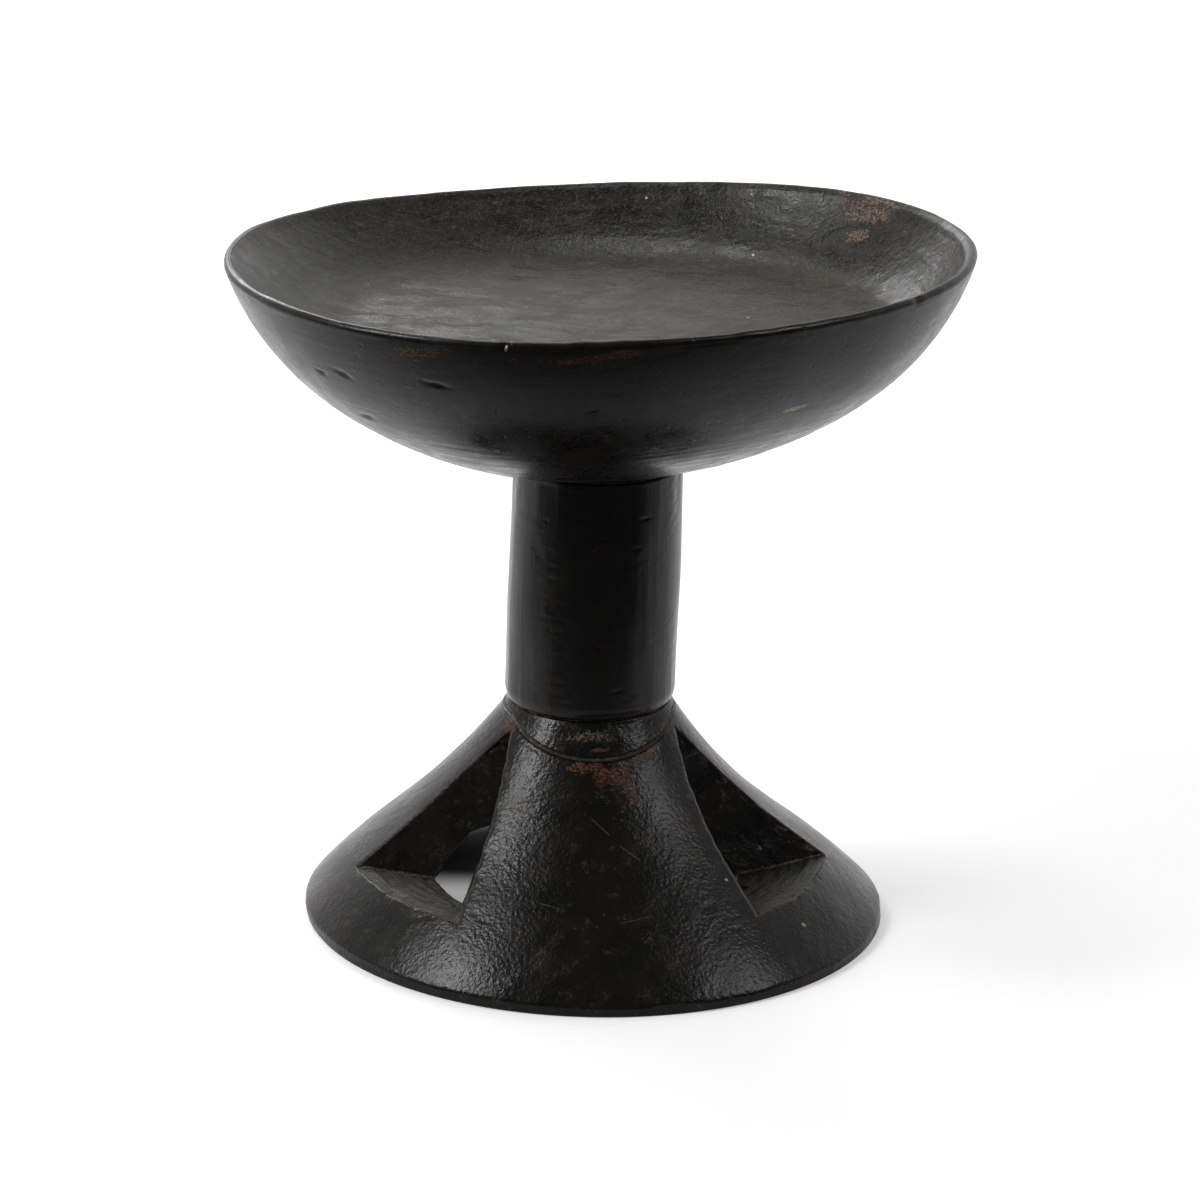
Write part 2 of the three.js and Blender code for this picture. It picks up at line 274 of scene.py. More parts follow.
def dish_section():
    """The warped part of the section as (radius, height) points, and where the outside and
    the lip end."""
    lip_middle = np.array([RIM_RADIUS - LIP_ROUND, RIM_TOP - LIP_ROUND])
    outside = curve_between((BOWL_FOOT_RADIUS, DISH_BOTTOM), (RIM_RADIUS, lip_middle[1]),
                            [(0.674, 0.171), (0.921, 0.667)], 150)
    turn = np.linspace(0, math.pi, 21)[1:]
    lip = lip_middle + LIP_ROUND * np.stack([np.cos(turn), np.sin(turn)], 1)
    top, foot = lip[-1], np.array([FLOOR_RADIUS, RIM_TOP - FLOOR_DROP])
    bend = foot + (top - foot) * np.array([0.36, 0.12])
    t = np.linspace(0, 1, 56)[1:, None]
    wall = (1 - t) ** 2 * top + 2 * (1 - t) * t * bend + t ** 2 * foot
    out = np.linspace(1, 0, 90)[1:]
    up = np.interp(out, [0, 0.4, 0.8, 1], [0, 0.12, 0.5, 1])
    floor = np.stack([FLOOR_RADIUS * out, foot[1] - FLOOR_DIP * (1 - up)], 1)
    section = np.concatenate([outside, lip, wall, floor])
    lip_end = len(outside) + len(lip)
    section = soften(section, lip_end, LIP_TURN)
    section = soften(section, lip_end + len(wall), FLOOR_TURN)
    return section, len(outside), lip_end


def make_dish():
    azimuth = np.arange(DISH_COLUMNS) * 2 * math.pi / DISH_COLUMNS
    section, outside_end, lip_end = dish_section()
    radius, height = section[:, :1], section[:, 1:]
    share = np.clip((height - DISH_BOTTOM) / DISH_DEPTH, 0, 1)
    swell = 1 + waves(RIM_WAVES, azimuth)
    lift = DISH_DEPTH * share ** 2 * waves(RIM_LIFTS, azimuth)
    wall_top = RIM_RADIUS - LIP_WIDTH
    to_floor = np.clip((wall_top - radius) / (wall_top - FLOOR_RADIUS), 0, 1)
    inside = np.arange(len(section))[:, None] >= lip_end
    settle = np.where(inside, mix(1, 0.4, to_floor) * np.minimum(1, radius / FLOOR_RADIUS), 1)
    shift = np.where(inside, mix(RIM_SHIFT, FLOOR_SHIFT, to_floor),
                     mix(BOWL_SHIFT, RIM_SHIFT, share))
    shell = at_azimuth(radius * swell, azimuth, height + lift * settle, shift)
    socket = [at_azimuth(r, azimuth, z, HEAD_SHIFT) for r, z in [
        (0, DISH_SOCKET_TOP), (SOCKET_RADIUS * 0.5, DISH_SOCKET_TOP),
        (SOCKET_RADIUS, DISH_SOCKET_TOP), (SOCKET_RADIUS, DISH_BOTTOM)]]
    socket += [mix(socket[3], shell[0], part) for part in (0.3, 0.65)]
    grid = np.concatenate([np.stack(socket), shell])
    first = len(socket)
    wall_share = np.zeros(grid.shape[:2])
    wall_share[first:] = np.where(inside, to_floor, 0)
    return mesh_piece("carved_dish", grid, {
        "inner": mark_rows(grid, first + lip_end - LIP_BLEED), "to_floor": wall_share,
        "lip": mark_rows(grid, first + outside_end - 3, first + lip_end + 3),
        "shell": mark_rows(grid, first)})


dish = make_dish()
join_up(dish, "dish")

# %% [markdown]
# ## The hollow, pierced foot
#
# The foot is the hardest carving: a flared shell with three notches whose cheeks run down to a
# level ledge, and that break through into the hollow. Cutting a mesh with wedges would leave
# ragged triangles along the edges. Here the columns of the grid bend so that they follow the
# cheeks' edges, and each column is split where the notch breaks through.

# %% Foot: its profile, hollow and notches
FOOT_FLARE = curve_between((FOOT_RADIUS, FOOT_EDGE), (NECK_RADIUS, NECK_HEIGHT),
                           [(0.316, 0.339), (0.612, 0.437)], 600)
HOLLOW = curve_between((FOOT_RADIUS - RIM_WIDTH, 0), (0, CROWN_HEIGHT),
                       [(0.487, 0.9), (0.54, 1)], 900)
HOLLOW_OVAL, HOLLOW_TURN = 0.15, math.radians(6)
LEDGE_SLOPE, LEDGE_LIP = 0.06, 0.4
FOOT_WAVES = [(2, 0.0084, 117)]
FOOT_BOW, FOOT_BOW_TURN = 3.6, math.radians(135)
SEAT_RISE, SEAT_TO_RIGHT, SEAT_TO_BACK = 0.65, -0.034, 0.343    # the slanted plane of the crack
COLLAR_BACK = 2.9
LEAST_HALF_WIDTH = math.radians(0.7)


def skin(height):
    return np.interp(height, FOOT_FLARE[:, 1], FOOT_FLARE[:, 0])


def hollow_oval(azimuth):
    return 1 + HOLLOW_OVAL * np.cos(2 * (azimuth + HOLLOW_TURN))


def hollow_radius(azimuth, height):
    return np.interp(height, HOLLOW[:, 1], HOLLOW[:, 0]) * hollow_oval(azimuth)


def valley(height):
    """The radius of the crease where a notch's two cheeks meet."""
    return skin(height) - NOTCH_DEPTH * (NOTCH_APEX - height) / (NOTCH_APEX - NOTCH_LEDGE)


def ledge_height(radius, off):
    """The ledge sinks a little towards the hollow. off is the azimuth off the notch's middle."""
    return NOTCH_LEDGE - LEDGE_SLOPE * (FOOT_RADIUS - NOTCH_LEDGE - radius * np.cos(off))


def cheek_radius(height, off):
    spread = np.cos(off) - np.abs(np.sin(off)) * CHEEK
    return valley(height) / np.maximum(spread, 1e-3)


def edge_off(height):
    """How far off the notch's middle the cheek meets the skin of the foot."""
    height = np.clip(height, NOTCH_LEDGE - LEDGE_LIP, NOTCH_APEX)
    share = valley(height) / skin(height) / math.hypot(1, CHEEK)
    return np.maximum(np.arccos(np.clip(share, -1, 1)) - math.atan(CHEEK), LEAST_HALF_WIDTH)


def carve_foot(points):
    """The foot is a little oval at its base, and its axis bows to the left."""
    share = np.clip(points[..., 2] / NECK_HEIGHT, 0, 1)
    azimuth = np.arctan2(points[..., 0], -points[..., 1])
    swell = 1 + (1 - share) * waves(FOOT_WAVES, azimuth)
    moved = points.copy()
    moved[..., 0] = points[..., 0] * swell - FOOT_BOW * np.sin(share * FOOT_BOW_TURN)
    moved[..., 1] *= swell
    return moved


def seat_height(points, lift=0.0):
    """The slanted seat of the collar, held level at the back."""
    slant = (NECK_HEIGHT + SEAT_RISE + SEAT_TO_RIGHT * points[..., 0]
             + SEAT_TO_BACK * points[..., 1])
    return np.minimum(slant, NECK_HEIGHT - COLLAR_BACK) + lift


print(f"A notch is {2 * math.degrees(float(edge_off(NOTCH_LEDGE))):.0f} degrees wide at its ledge")

# %% Foot: how each column is cut
# Columns are laid out notch by notch. lane_inside is the column's share of the way from the
# notch's middle to its edge, and lane_outside its share of the way on to the next notch.
COLUMNS_IN, COLUMNS_OUT = 110, 70
lanes = []
for middle in NOTCHES:
    for step in np.arange(-COLUMNS_IN, COLUMNS_IN + 1):
        lanes.append((middle, step / COLUMNS_IN, 0.0))
    for step in np.arange(1, COLUMNS_OUT):
        lanes.append((middle, 1.0, step / COLUMNS_OUT))
lane_middle, lane_inside, lane_outside = np.array(lanes).T


def off_middle(height):
    """Each column's azimuth off its notch's middle at a height, which may differ by column."""
    edge = edge_off(height)
    return lane_inside * edge + lane_outside * (THIRD_TURN - 2 * edge)


def off_notch(off):
    """The azimuth off the nearest notch's middle, with its sign."""
    return (off + THIRD_TURN / 2) % THIRD_TURN - THIRD_TURN / 2


def meet(fixed):
    """A height that a function of heights gives back unchanged, found by repeating it."""
    height = np.full(len(lanes), NOTCH_LEDGE - 0.5)
    for _ in range(40):
        height = fixed(height)
    return height


column_turn = lane_middle + off_middle(NOTCH_LEDGE)
near_off = off_notch(off_middle(NOTCH_LEDGE))
in_notch = np.abs(near_off) <= edge_off(NOTCH_LEDGE) + 1e-9

# the ledge's outer edge, and the heights where it meets the cheek and the hollow
ledge_edge = np.where(in_notch, meet(lambda z: ledge_height(skin(z), near_off)),
                      NOTCH_LEDGE - LEDGE_LIP)
cheek_foot = np.where(in_notch, meet(
    lambda z: ledge_height(cheek_radius(z, near_off), near_off)), ledge_edge)
cheek_foot_radius = np.where(in_notch, cheek_radius(cheek_foot, near_off), skin(ledge_edge))
cheek_foot_radius = np.minimum(cheek_foot_radius, skin(ledge_edge))
opening_foot = meet(lambda z: ledge_height(hollow_radius(column_turn, z), near_off))
window = in_notch & (hollow_radius(column_turn, opening_foot) > cheek_foot_radius)
lower_end = np.where(window, opening_foot, cheek_foot)
lower_radius = np.where(window, hollow_radius(column_turn, opening_foot), cheek_foot_radius)

# up each column, the last height at which the cheek is still inside the hollow
heights = np.linspace(NOTCH_LEDGE - 3, CROWN_HEIGHT - 0.5, 1200)[:, None]
off = off_middle(heights)
gap = cheek_radius(heights, off_notch(off)) - hollow_radius(lane_middle + off, heights)
last = len(heights) - 1 - np.argmax((gap < 0)[::-1], axis=0)
low, high = (np.take_along_axis(gap, row[None], 0)[0]
             for row in (last, np.minimum(last + 1, len(heights) - 1)))
part = low / np.where(low == high, 1, low - high)
window_top = heights[last, 0] + part * (heights[1, 0] - heights[0, 0])
upper_start = np.maximum(np.where(window, window_top, lower_end), lower_end)
print(f"{len(lanes)} columns, of which {window.sum()} run through a window")

# %% Foot: its rows
FAR = 20.0    # millimetres from an edge at which the edge no longer matters
SKIN, LEDGE, CHEEK_FACE, HOLLOWED, BASE, UPRIGHT, HIDDEN = range(7)    # zones
RIM_EDGE = [(0.35, 0.1), (0.1, 0.35), (0, 0.7), (0, 1.5), (0, 2.4), (0, 3.1), (0.08, 3.6)]


def foot_row(points, zone, to_edge=FAR, to_crease=FAR):
    """A row of points with its marks: its zone, and how far off an edge and a crease are."""
    return points, *(np.broadcast_to(np.minimum(mark, FAR), len(lanes))
                     for mark in (zone, to_edge, to_crease))


def hollow_rows():
    """The hollow above the notches, from the crown down, and then below them."""
    crown_start = np.interp(upper_start, HOLLOW[:, 1], np.linspace(0, 1, len(HOLLOW)))
    upper, lower = [], []
    for t in np.linspace(1, 0, 60):
        place = mix(crown_start, 1.0, t ** 0.8) * (len(HOLLOW) - 1)
        radius, height = (np.interp(place, np.arange(len(HOLLOW)), side) for side in HOLLOW.T)
        turn = lane_middle + off_middle(height)
        upper.append(foot_row(at_azimuth(radius * hollow_oval(turn), turn, height), HOLLOWED))
    for t in np.linspace(0, 1, 34):
        height = mix(lower_end, 0.0, t)
        lower.append(foot_row(at_azimuth(hollow_radius(column_turn, height), column_turn, height),
                              HOLLOWED))
    return upper, lower


def rim_rows():
    """The flat ring that the foot stands on, and its upright edge with softened corners."""
    rim = hollow_radius(column_turn, 0.0)
    flat = [foot_row(at_azimuth(mix(rim, FOOT_RADIUS - 0.7, t), column_turn, 0.0), BASE)
            for t in np.linspace(0, 1, 12)[1:]]
    return flat + [foot_row(at_azimuth(FOOT_RADIUS - inset, column_turn, height), UPRIGHT)
                   for inset, height in RIM_EDGE]


def ledge_rows():
    """The skin below the notches, and then the ledge."""
    rows = []
    for t in np.linspace(0, 1, 44):
        height = mix(FOOT_EDGE + 0.15, ledge_edge, t)
        below = np.where(in_notch, 1.3 * (ledge_edge - height), FAR)
        rows.append(foot_row(at_azimuth(skin(height) - 0.12 * (t == 0), column_turn, height),
                             SKIN, below))
    edge_radius = skin(ledge_edge)
    for t in np.linspace(0, 1, 42)[1:]:
        radius = mix(edge_radius, lower_radius, t)
        height = np.where(in_notch, ledge_height(radius, near_off), ledge_edge)
        height = np.where(t == 1, lower_end, height)
        inward, outward = radius - lower_radius, edge_radius - radius
        to_edge = np.where(window, np.minimum(outward, inward), outward)
        rows.append(foot_row(at_azimuth(radius, column_turn, height), LEDGE,
                             np.where(in_notch, to_edge, FAR),
                             np.where(in_notch & ~window, inward, FAR)))
    return rows


def cheek_rows():
    """Above the notch's foot: the cheek where there is one, and otherwise the skin."""
    ends = np.full(len(lanes), NECK_HEIGHT - 3.0)
    for _ in range(30):
        turn = lane_middle + off_middle(ends)
        ends = seat_height(carve_foot(at_azimuth(skin(ends), turn, ends)))
    rows = []
    for t in np.linspace(0, 1, 120):
        height = mix(upper_start, ends, t)
        off, edge = off_middle(height), edge_off(height)
        radius = np.minimum(skin(height), cheek_radius(height, off_notch(off)))
        on_cheek = (np.abs(lane_inside) < 1 - 1e-9) & (height < NOTCH_APEX)
        beside = np.where(
            lane_outside > 0,
            np.minimum(lane_outside, 1 - lane_outside) * (THIRD_TURN - 2 * edge),
            (1 - np.abs(lane_inside)) * edge) * radius + np.maximum(0, height - NOTCH_APEX)
        above = np.where(lane_outside > 0, FAR, height - upper_start)
        rows.append(foot_row(at_azimuth(radius, lane_middle + off, height),
                             np.where(on_cheek, CHEEK_FACE, SKIN),
                             np.where(window, np.minimum(beside, above), beside),
                             np.where(window, FAR, above)))
    return rows


def seat_rows(top):
    """The seat of the collar, from the skin's last row inwards, and the socket of the stem."""
    bore = at_azimuth(SOCKET_RADIUS, lane_middle + off_middle(NECK_HEIGHT), 0.0, TOE_SHIFT)
    rings = [mix(top, bore, t) for t in (0.25, 0.5, 0.75, 1.0)]
    for ring in rings:
        ring[:, 2] = seat_height(ring)
    low = bore.copy()
    low[:, 2] = SOCKET_BOTTOM
    middle = low * 0 + np.array([TOE_SHIFT, 0, SOCKET_BOTTOM])
    rings += [mix(rings[-1], low, 0.5), low, mix(low, middle, 0.5), middle]
    return [foot_row(ring, HIDDEN) for ring in rings]


def stack_rows(rows):
    """The rows' points as one grid, and each of their marks as another."""
    return [np.stack(part) for part in zip(*rows)]


def make_foot():
    upper, lower = hollow_rows()
    skirt = lower + rim_rows() + ledge_rows()
    grid, *marks = stack_rows(upper + skirt + cheek_rows())
    hollow_split, skin_split = len(upper), len(upper) + len(skirt)
    # the rows on the two sides of a split share their points, through the window or past it
    through = window[:, None]
    grid[hollow_split - 1] = np.where(through, grid[skin_split], grid[hollow_split])
    grid[hollow_split] = np.where(through, grid[skin_split - 1], grid[hollow_split])
    grid[skin_split] = np.where(through, grid[skin_split], grid[skin_split - 1])
    grid = carve_foot(grid)
    seat, *seat_marks = stack_rows(seat_rows(grid[-1]))
    grid = np.concatenate([grid, seat])
    marks = [np.concatenate(pair) for pair in zip(marks, seat_marks)]
    keep = np.ones((len(grid) - 1, len(lanes)), bool)
    keep[[hollow_split - 1, skin_split - 1]] = ~(window & np.roll(window, -1))
    return mesh_piece("carved_foot", grid, dict(zip(("zone", "to_edge", "to_crease"), marks)),
                      keep)


foot = make_foot()
join_up(foot, "foot")

# %% [markdown]
# ## The adzed stem
#
# The stem was roughed out with an adze in long flats from end to end, then rubbed smooth, so
# the flats are still there as bands of light. A tenon at each end goes into the plate and the
# foot. The columns of its grid are bunched facet by facet, so each edge between two flats is
# a line of the mesh.

# %% Stem
STEM_FACETS, COLUMNS_PER_FACET = 14, 30
STEM_SWELL = [(0.18, 1), (0.4, 1.0063), (0.62, 1), (0.85, 0.9873), (1, 0.981)]
STEM_ROWS = STEM_TOE + np.concatenate([np.linspace(0, 5, 18), np.linspace(5, 88.2, 190)[1:],
                                       [88.5, 88.8, 89.0]])
FLATNESS = 0.15    # what the rubbing left of the adze's flats
TOE_ROUND, TOE_INSET, HEAD_ROUND, HEAD_INSET = 4.0, 0.9, 0.8, 0.5


def facet_edge(count, height):
    """The azimuth of an edge between facets: unevenly spaced, and wandering a little."""
    wander = 0.22 * np.sin(2.4 * (count % STEM_FACETS))
    sway = 0.05 * rolling(np.stack([height, 7.3 * (count % STEM_FACETS)], -1).reshape(-1, 2),
                          (30, 1), 5).reshape(height.shape)
    return 2 * math.pi / STEM_FACETS * (count + wander + sway)


def tenon_rows(end, shoulder, turn, shift):
    """A tenon from the middle of its end to the stem's shoulder."""
    chamfer = math.copysign(TENON_CHAMFER, shoulder - end)
    profile = [(0, end), (7, end), (TENON_RADIUS - TENON_CHAMFER, end),
               (TENON_RADIUS, end + chamfer), (TENON_RADIUS, shoulder)]
    return [at_azimuth(radius, turn, height, shift) for radius, height in profile]


def shaft_row(height, place, facet):
    """One row of the stem: place counts facets round it, and facet is its whole part."""
    share = (height - STEM_TOE) / (STEM_HEAD - STEM_TOE)
    radius = STEM_RADIUS * np.interp(share, *zip(*STEM_SWELL))
    radius -= TOE_INSET * (1 - np.clip((height - STEM_TOE) / TOE_ROUND, 0, 1)) ** 1.6
    radius -= HEAD_INSET * np.clip(1 - (STEM_HEAD - height) / HEAD_ROUND, 0, 1) ** 2
    z = np.full(len(place), height)
    start, end = facet_edge(facet, z), facet_edge(facet + 1, z)
    angle = mix(start, end, place - facet)
    flat = np.cos((end - start) / 2) / np.cos(angle - (start + end) / 2)
    return at_azimuth(radius * mix(1, flat, FLATNESS), angle, height,
                      mix(TOE_SHIFT, HEAD_SHIFT, share))


def make_stem():
    place = np.arange(STEM_FACETS * COLUMNS_PER_FACET) / COLUMNS_PER_FACET
    turn = 2 * math.pi * place / STEM_FACETS
    lower = tenon_rows(TENON_ENDS[0], STEM_TOE, turn, TOE_SHIFT)
    lower.append(mix(lower[-1], at_azimuth(29.0, turn, STEM_TOE, TOE_SHIFT), 0.6))
    shaft = [shaft_row(height, place, np.floor(place + 1e-6)) for height in STEM_ROWS]
    upper = tenon_rows(TENON_ENDS[1], STEM_HEAD, turn, HEAD_SHIFT)[::-1]
    grid = np.stack(lower + shaft + [mix(shaft[-1], upper[0], 0.5)] + upper)
    on_shaft = mark_rows(grid, len(lower), len(lower) + len(shaft))
    off_arris = np.abs(place - np.round(place)) * COLUMNS_PER_FACET
    return mesh_piece("adzed_stem", grid, {
        "shaft": on_shaft, "arris": on_shaft * np.exp(-(off_arris / 1.6) ** 2)})


stem = make_stem()
join_up(stem, "stem")

# %% [markdown]
# ## The collar and the putty in the seams
#
# The neck of the foot has split along a slant, and the ring above the split is a piece of its
# own. Gum and wood dust fill this split and the joints at both ends of the stem. The films are
# thin, so the only thing to get right is their ragged outer bead.

# %% Collar and putty
RING_COLUMNS = 540
RING_TURN = np.arange(RING_COLUMNS) * 2 * math.pi / RING_COLUMNS
COLLAR_SKIN_ROWS = 26
UPPER_BEAD, LOWER_BEAD = 31.3, 30.2    # radii that the putty reaches at the stem's two ends


def neck_point(height, turn, grow=0.0):
    return carve_foot(at_azimuth(skin(height) + grow, turn, height))


def meet_seat(lift):
    """The height on the neck, at each azimuth, where the seat lifted by lift comes out."""
    height = np.full(RING_COLUMNS, NECK_HEIGHT - 3.0)
    for _ in range(30):
        height = np.minimum(seat_height(neck_point(height, RING_TURN), lift), NECK_HEIGHT)
    return height


def make_collar():
    low = meet_seat(SEAM)
    rows = [neck_point(mix(low, NECK_HEIGHT, t), RING_TURN)
            for t in np.linspace(0, 1, COLLAR_SKIN_ROWS)]
    bore = at_azimuth(SOCKET_RADIUS, RING_TURN, NECK_HEIGHT, TOE_SHIFT)
    top = rows[-1]
    rows += [mix(top, bore, t) for t in (0.03, 0.3, 0.6, 1.0)]
    under = [mix(bore, rows[0], t) for t in (0, 0.3, 0.6)]
    for ring in under:
        ring[:, 2] = np.minimum(seat_height(ring, SEAM), NECK_HEIGHT - 0.4)
    grid = np.stack(rows + under + [rows[0]])
    far = np.full(grid.shape[:2], FAR)
    return mesh_piece("split_collar", grid, {
        "shown": mark_rows(grid, 0, COLLAR_SKIN_ROWS), "to_edge": far, "to_crease": far})


def bead_grid(inner, outer_low, outer_high, outer_middle):
    """A closed ring's section: inner edge, lower face, round bead, upper face."""
    low_in, high_in = inner
    rows = [low_in, mix(low_in, outer_low, 0.6)]
    for t in np.linspace(0, 1, 9):
        side = mix(outer_low, outer_high, t)
        rows.append(mix(side, outer_middle, math.sin(math.pi * t) * 0.9))
    return np.stack(rows + [mix(high_in, outer_high, 0.6), high_in, low_in])


def crumbly(salt, size=0.35):
    """How far the bead stands out at each azimuth: crumbs and gaps."""
    ring = np.stack([np.sin(RING_TURN), np.cos(RING_TURN)], 1) * 30
    rough = 0.5 * rolling(ring, 1.1, salt) + 0.35 * rolling(ring, 3.5, salt + 1)
    return size * (rough + 0.3 * rolling(ring, 9.0, salt + 2))


def make_ring_putty(name, reach, seam_bottom, shift, salt):
    bottom, top = (seam_bottom + face for face in SEAM_PUTTY)
    reach = reach + crumbly(salt)

    def ring(radius, height):
        return at_azimuth(radius, RING_TURN, height, shift)

    inner = [ring(SOCKET_RADIUS, z) for z in (bottom, top)]
    return mesh_piece(name, bead_grid(
        inner, ring(reach - 0.35, bottom), ring(reach - 0.35, top),
        ring(reach, (bottom + top) / 2)), {})


def make_split_putty():
    lifts = [*SEAM_PUTTY, sum(SEAM_PUTTY) / 2]
    grows = (0.0, 0.0, crumbly(60, 0.4) + 0.15)
    sides = [neck_point(meet_seat(lift), RING_TURN, grow) for lift, grow in zip(lifts, grows)]
    inner = [at_azimuth(SOCKET_RADIUS, RING_TURN, 0.0, TOE_SHIFT) for _ in SEAM_PUTTY]
    for ring, lift in zip(inner, lifts):
        ring[:, 2] = seat_height(ring, lift)
    return mesh_piece("split_putty", bead_grid(inner, *sides), {})


collar = make_collar()
join_up(collar, "collar")
upper_putty = make_ring_putty("upper_putty", UPPER_BEAD, STEM_HEAD, HEAD_SHIFT, 40)
join_up(upper_putty, "upper_seam_putty")
lower_putty = make_ring_putty("lower_putty", LOWER_BEAD, NECK_HEIGHT, TOE_SHIFT, 50)
join_up(lower_putty, "lower_seam_putty")
split_putty = make_split_putty()
join_up(split_putty, "collar_seam_putty")

# %% [markdown]
# ## Marks of the hand
#
# Up to here the pieces are too perfect. Now each point is pushed in or out along its normal by
# a fraction of a millimetre: a slow unevenness from the adze, the strokes of the blade, which
# run round the plate and up the foot and the stem, and dents, nicks and short cuts. Displacing
# real points, and not only faking it in the material, keeps the marks in the outline as well.
# In each sum below, the first number of a line is that mark's depth in millimetres.

# %% Strokes and dents
def strokes(places, rise, core, around, along, salt, twist=0.0):
    """Blade marks: noise that is around mm wide at the core radius and along mm long, on a
    surface whose section runs with the radius plus rise times the height."""
    radius = np.hypot(places[:, 0], places[:, 1])
    way = radius + rise * places[:, 2]
    turn = np.arctan2(places[:, 0], -places[:, 1]) + twist * way
    ring = np.stack([core * np.sin(turn), core * np.cos(turn), way], 1)
    return rolling(ring, (around, around, along), salt)


def dent(places, centre, length, width, lean=0.0):
    """1 at the centre of a dent and 0 outside it. Its length lies round the axis, or leans up
    from that by an angle in degrees."""
    away = places - np.array(centre)
    turn = math.atan2(centre[0], -centre[1])
    level = math.cos(math.radians(lean))
    axis = np.array([math.cos(turn) * level, math.sin(turn) * level,
                     math.sin(math.radians(lean))])
    along = away @ axis
    across = np.sqrt(np.maximum((away ** 2).sum(1) - along ** 2, 0))
    return np.exp(-(along / length) ** 2 - (across / width) ** 2)


def scattered(count, salt):
    """Rows of five random numbers from 0 to 1, for scattering small marks."""
    return np.random.default_rng(salt).uniform(0, 1, (count, 5))


FULL_TURN = 6.283    # radians


def round_the_axis(radius, turn, height, shift=0.0):
    """A place on a piece, for a share of a full turn."""
    turn = FULL_TURN * turn
    return (radius * math.sin(turn) + shift, -radius * math.cos(turn), height)


faded = dent(np.array([[0, -1.5, 0]]), (0, 0, 0), 1, 1)[0]
print(f"A dent of 1 mm fades to {faded:.2f} at 1.5 mm")

# %% Relief of the plate
DISH_PITS = [(-87.5, -92.2, 229.5, 4.6, 1.1, -24), (-95.4, -81.8, 227.4, 2.2, 1.0, -20),
             (-80.0, -77.1, 210.6, 4.2, 1.2, 14), (-54.8, -114.9, 232.3, 5.0, 0.9, -12),
             (-61.0, -98.0, 222.0, 6.0, 0.9, -16), (52.0, -66.0, 206.5, 6.5, 1.0, 10)]
LIP_NICKS = [(108.6, -61.4, 250.4, 2.4, 1.7), (-31.5, -128.1, 249.6, 0.8, 1.6),
             (38.0, -121.5, 249.5, 1.8, 1.0), (-118.0, 40.0, 249.5, 3.0, 1.5)]
FLOOR_RIDGE, FLOOR_RIDGE_WIDTH = 97.5, 4.5
BOWL_HEIGHTS, BOWL_RADII = [180, 200, 225, 250], [62, 92, 118, 130]


def relieve_dish():
    places, _ = read_points(dish)
    inner, lip, shell, to_floor = (read_mark(dish, m)
                                   for m in ("inner", "lip", "shell", "to_floor"))
    radius = np.hypot(places[:, 0], places[:, 1])
    outer = (1 - inner) * shell * smooth(DISH_BOTTOM, DISH_BOTTOM + 3, places[:, 2])
    depth = (outer + inner) * (0.30 * rolling(places, 36, 1) + 0.12 * rolling(places, 15, 2))
    low = smooth(220, 185, places[:, 2])
    depth += outer * (0.03 + 0.10 * low) * strokes(places, 1, 75, 13, 2.6, 3)
    depth += 0.02 * outer * strokes(places, 1, 95, 8, 1.5, 4)
    wall = inner * (1 - to_floor ** 6)
    depth += 0.06 * wall * strokes(places, 1, 105, 17, 3.0, 5)
    floor_part = inner * smooth(100, 85, radius)
    depth += floor_part * (0.20 * rolling(places, (17, 8, 9), 6)
                           + 0.09 * rolling(places, (6, 3.4, 9), 7))
    depth += 0.20 * floor_part * (scoops(places[:, :2] + 500, 21, 8) - 0.3)
    off_ridge = radius - FLOOR_RIDGE - 4.0 * rolling(places, 30, 9)
    depth += 0.20 * inner * np.exp(-(off_ridge / FLOOR_RIDGE_WIDTH) ** 2)
    depth += lip * (0.16 * rolling(places, 7, 10) + 0.16 * rolling(places, 19, 11))
    for x, y, z, length, width, lean in DISH_PITS:
        depth -= 0.75 * outer * dent(places, (x, y, z), length, width, lean)
    for x, y, z, length, width in LIP_NICKS:
        depth -= 0.7 * dent(places, (x, y, z), length, width)
    for a, b, c, d, e in scattered(46, 12):
        height = DISH_BOTTOM + 8 + 58 * b
        spot = round_the_axis(np.interp(height, BOWL_HEIGHTS, BOWL_RADII), a, height)
        depth -= 0.35 * outer * dent(places, spot, 1.0 + 2.6 * c, 0.8 + 0.6 * d, 90 * e - 45)
    push(dish, depth)


relieve_dish()

# %% Relief of the foot
CHEEK_CRACKS = [(48.0, -9.5, 47.5, 9, 0.9, 28), (61.0, -12.5, 31.0, 5, 1.0, -62)]


